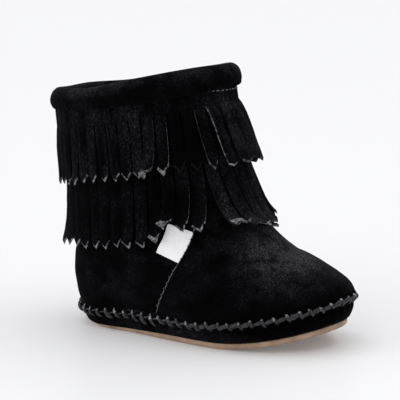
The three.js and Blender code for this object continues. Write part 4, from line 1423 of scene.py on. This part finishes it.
def ribMesh(middle):
    # a rounded bar across the field, bowed to the toe, down to the height of the rim
    across = np.linspace(-1, 1, 21)
    outerEnd = -fieldHalf(middle + sole["ribSlant"] / 2 - sole["ribBow"], True)
    innerEnd = fieldHalf(middle - sole["ribSlant"] / 2 - sole["ribBow"], False)
    x = middle - sole["ribSlant"] / 2 * across - sole["ribBow"] * across**2
    y = mix(outerEnd, innerEnd, (across + 1) / 2)
    half = sole["ribWidth"] / 2
    section = [(-1, sole["fieldDepth"] + 0.4), (-1, 0.5), (-0.93, 0.2), (-0.7, 0.02)]
    section += [(-sx, sz) for sx, sz in reversed(section)]
    points = []
    # how far past the field's edge and how large, so that both ends are round
    ends = [(-1, 0.4), (-0.6, 0.8)] + [(0, 1.0)] * len(across) + [(0.6, 0.8), (1, 0.4)]
    at = [0, 0] + list(range(len(across))) + [len(across) - 1] * 2
    for (shift, size), i in zip(ends, at):
        for sx, sz in section:
            px = x[i] + sx * half * size
            depth = sz if size == 1 else mix(sole["fieldDepth"], sz, 0.6 + 0.4 * (size - 0.4) / 0.6)
            points.append((px, y[i] + shift * half * 0.7, depth + lift(np.float64(px))))
    rows, columns = len(at), len(section)
    faces = [tuple(f) for f in gridFaces(rows, columns).tolist()]
    faces.append(tuple(range(columns)))
    faces.append(tuple(reversed(range((rows - 1) * columns, rows * columns))))
    return points, faces


makeSole()


def makeChannelStitches():
    joined = Joined()
    grow = -foot["soleInset"] - sole["rimWidth"] - sole["channelWidth"] / 2 - 0.1
    line = solePoint(fineAngles, grow - 1.2 * soleTuck(fineAngles), sole["channelDepth"])
    run = runAlong(line)
    steps = np.linspace(0, 1, 6)
    dip = mix(0.35, -0.25, np.sin(np.pi * steps))
    for k in range(int(run[-1] / sole["stitchPitch"])):
        angle = np.interp(k * sole["stitchPitch"] + steps * sole["stitchLength"], run, fineAngles)
        route = solePoint(angle, grow - 1.2 * soleTuck(angle), sole["channelDepth"] + dip)
        joined.add(*tube(route, sole["stitchRadius"]))
    return makePiece("soleStitches", joined.points, joined.faces, [brownThread], sharp=80,
                     slotName="rubber")


makeChannelStitches()

# Insole: foam pad with a knitted face
insole = {
    "columns": 300,
    "thickness": 2.0,
    "play": 0.6,  # between its edge and the tray's wall
    "lumps": 0.12,
}


def makeInsole():
    angles = ringAngles(insole["columns"])
    under = trayLook["floor"] + trayLook["wall"] + foot["clear"]
    edge = -trayLook["wall"] - foot["clear"] - insole["play"]
    thick = insole["thickness"]
    side = [(edge - 13, under), (edge - 2.2, under), (edge - 0.6, under + 0.4),
            (edge, under + thick * 0.5), (edge - 0.15, under + thick * 0.8)]
    face = [(edge - 0.8, under + thick), (edge - 3, under + thick + 0.15),
            (edge - 7, under + thick + 0.05), (edge - 13, under + thick)]
    rings = [solePoint(angles, grow, height) for grow, height in side + face]
    for ring in rings[len(side):]:
        ring[:, 2] += insole["lumps"] * wave(ring, 8, 1.0)
    piece = makePiece("paddedInsole", *closedSkin(rings), [lining], sharp=60, slotName="lining",
                      node="insole")
    return piece


makeInsole()
print("sole and insole done")

# Floor, light and camera
studio = {
    "floor": "#e7e7e8",
    "floorGlow": 0.15,  # the sweep is lit from below
    "floorSize": 14.0,
    "floorRoughness": 0.4,
    "world": "#f2f2f5",
    "worldStrength": 0.5,
    "lamps": [
        {"name": "overheadSoftbox", "from": (0.0, 0.25, 1.0), "strength": 1.45, "spread": 80},
        {"name": "frontSoftbox", "from": (-0.3, -1.0, 0.55), "strength": 0.9, "spread": 70},
        {"name": "leftSoftbox", "from": (-1.0, -0.35, 0.6), "strength": 0.5, "spread": 60},
        {"name": "rightSoftbox", "from": (1.0, 0.3, 0.6), "strength": 0.2, "spread": 60},
    ],
}


def makeStudio():
    material = startMaterial("paleFloor", {
        "Base Color": toLinear(studio["floor"]), "Roughness": studio["floorRoughness"],
        "Specular IOR Level": 0.3, "Emission Color": toLinear(studio["floor"]),
        "Emission Strength": studio["floorGlow"],
    })[0]
    half = studio["floorSize"] / 2
    mesh = bpy.data.meshes.new("floor")
    corners = [(-half, -half, 0), (half, -half, 0), (half, half, 0), (-half, half, 0)]
    mesh.from_pydata(corners, [], [(0, 1, 2, 3)])
    mesh.materials.append(material)
    floor = bpy.data.objects.new("floor", mesh)
    bpy.context.scene.collection.objects.link(floor)
    world = bpy.data.worlds.new("softStudio")
    world.use_nodes = True
    background = world.node_tree.nodes["Background"]
    background.inputs["Color"].default_value = toLinear(studio["world"])
    background.inputs["Strength"].default_value = studio["worldStrength"]
    bpy.context.scene.world = world
    for row in studio["lamps"]:
        light = bpy.data.lights.new(row["name"], "SUN")
        light.energy = row["strength"]
        light.angle = math.radians(row["spread"])
        lamp = bpy.data.objects.new(row["name"], light)
        lamp.rotation_euler = Vector(row["from"]).to_track_quat("Z", "Y").to_euler()
        bpy.context.scene.collection.objects.link(lamp)


# the photo's camera: 31 degrees round from the outer side to the toe, 215 mm above the floor
viewpoint = {
    "turn": 31,
    "distance": 0.85,
    "height": 0.215,
    "lookAt": (0.0, 0.0, 0.0565),
    "fieldOfView": 11.3,
}


def makeCamera():
    data = bpy.data.cameras.new("camera")
    data.sensor_width = 36
    data.lens = 18 / math.tan(math.radians(viewpoint["fieldOfView"] / 2))
    data.clip_start = 0.01
    data.clip_end = 50
    camera = bpy.data.objects.new("camera", data)
    turn = math.radians(viewpoint["turn"])
    distance = viewpoint["distance"]
    place = Vector((distance * math.sin(turn), -distance * math.cos(turn), viewpoint["height"]))
    aim = Vector(viewpoint["lookAt"]) - place
    camera.matrix_world = Matrix.Translation(place) @ aim.to_track_quat("-Z", "Y").to_matrix().to_4x4()
    bpy.context.scene.collection.objects.link(camera)
    bpy.context.scene.camera = camera


makeStudio()
makeCamera()
bpy.context.scene.view_settings.view_transform = "Standard"
print("floor, lamps and camera done")
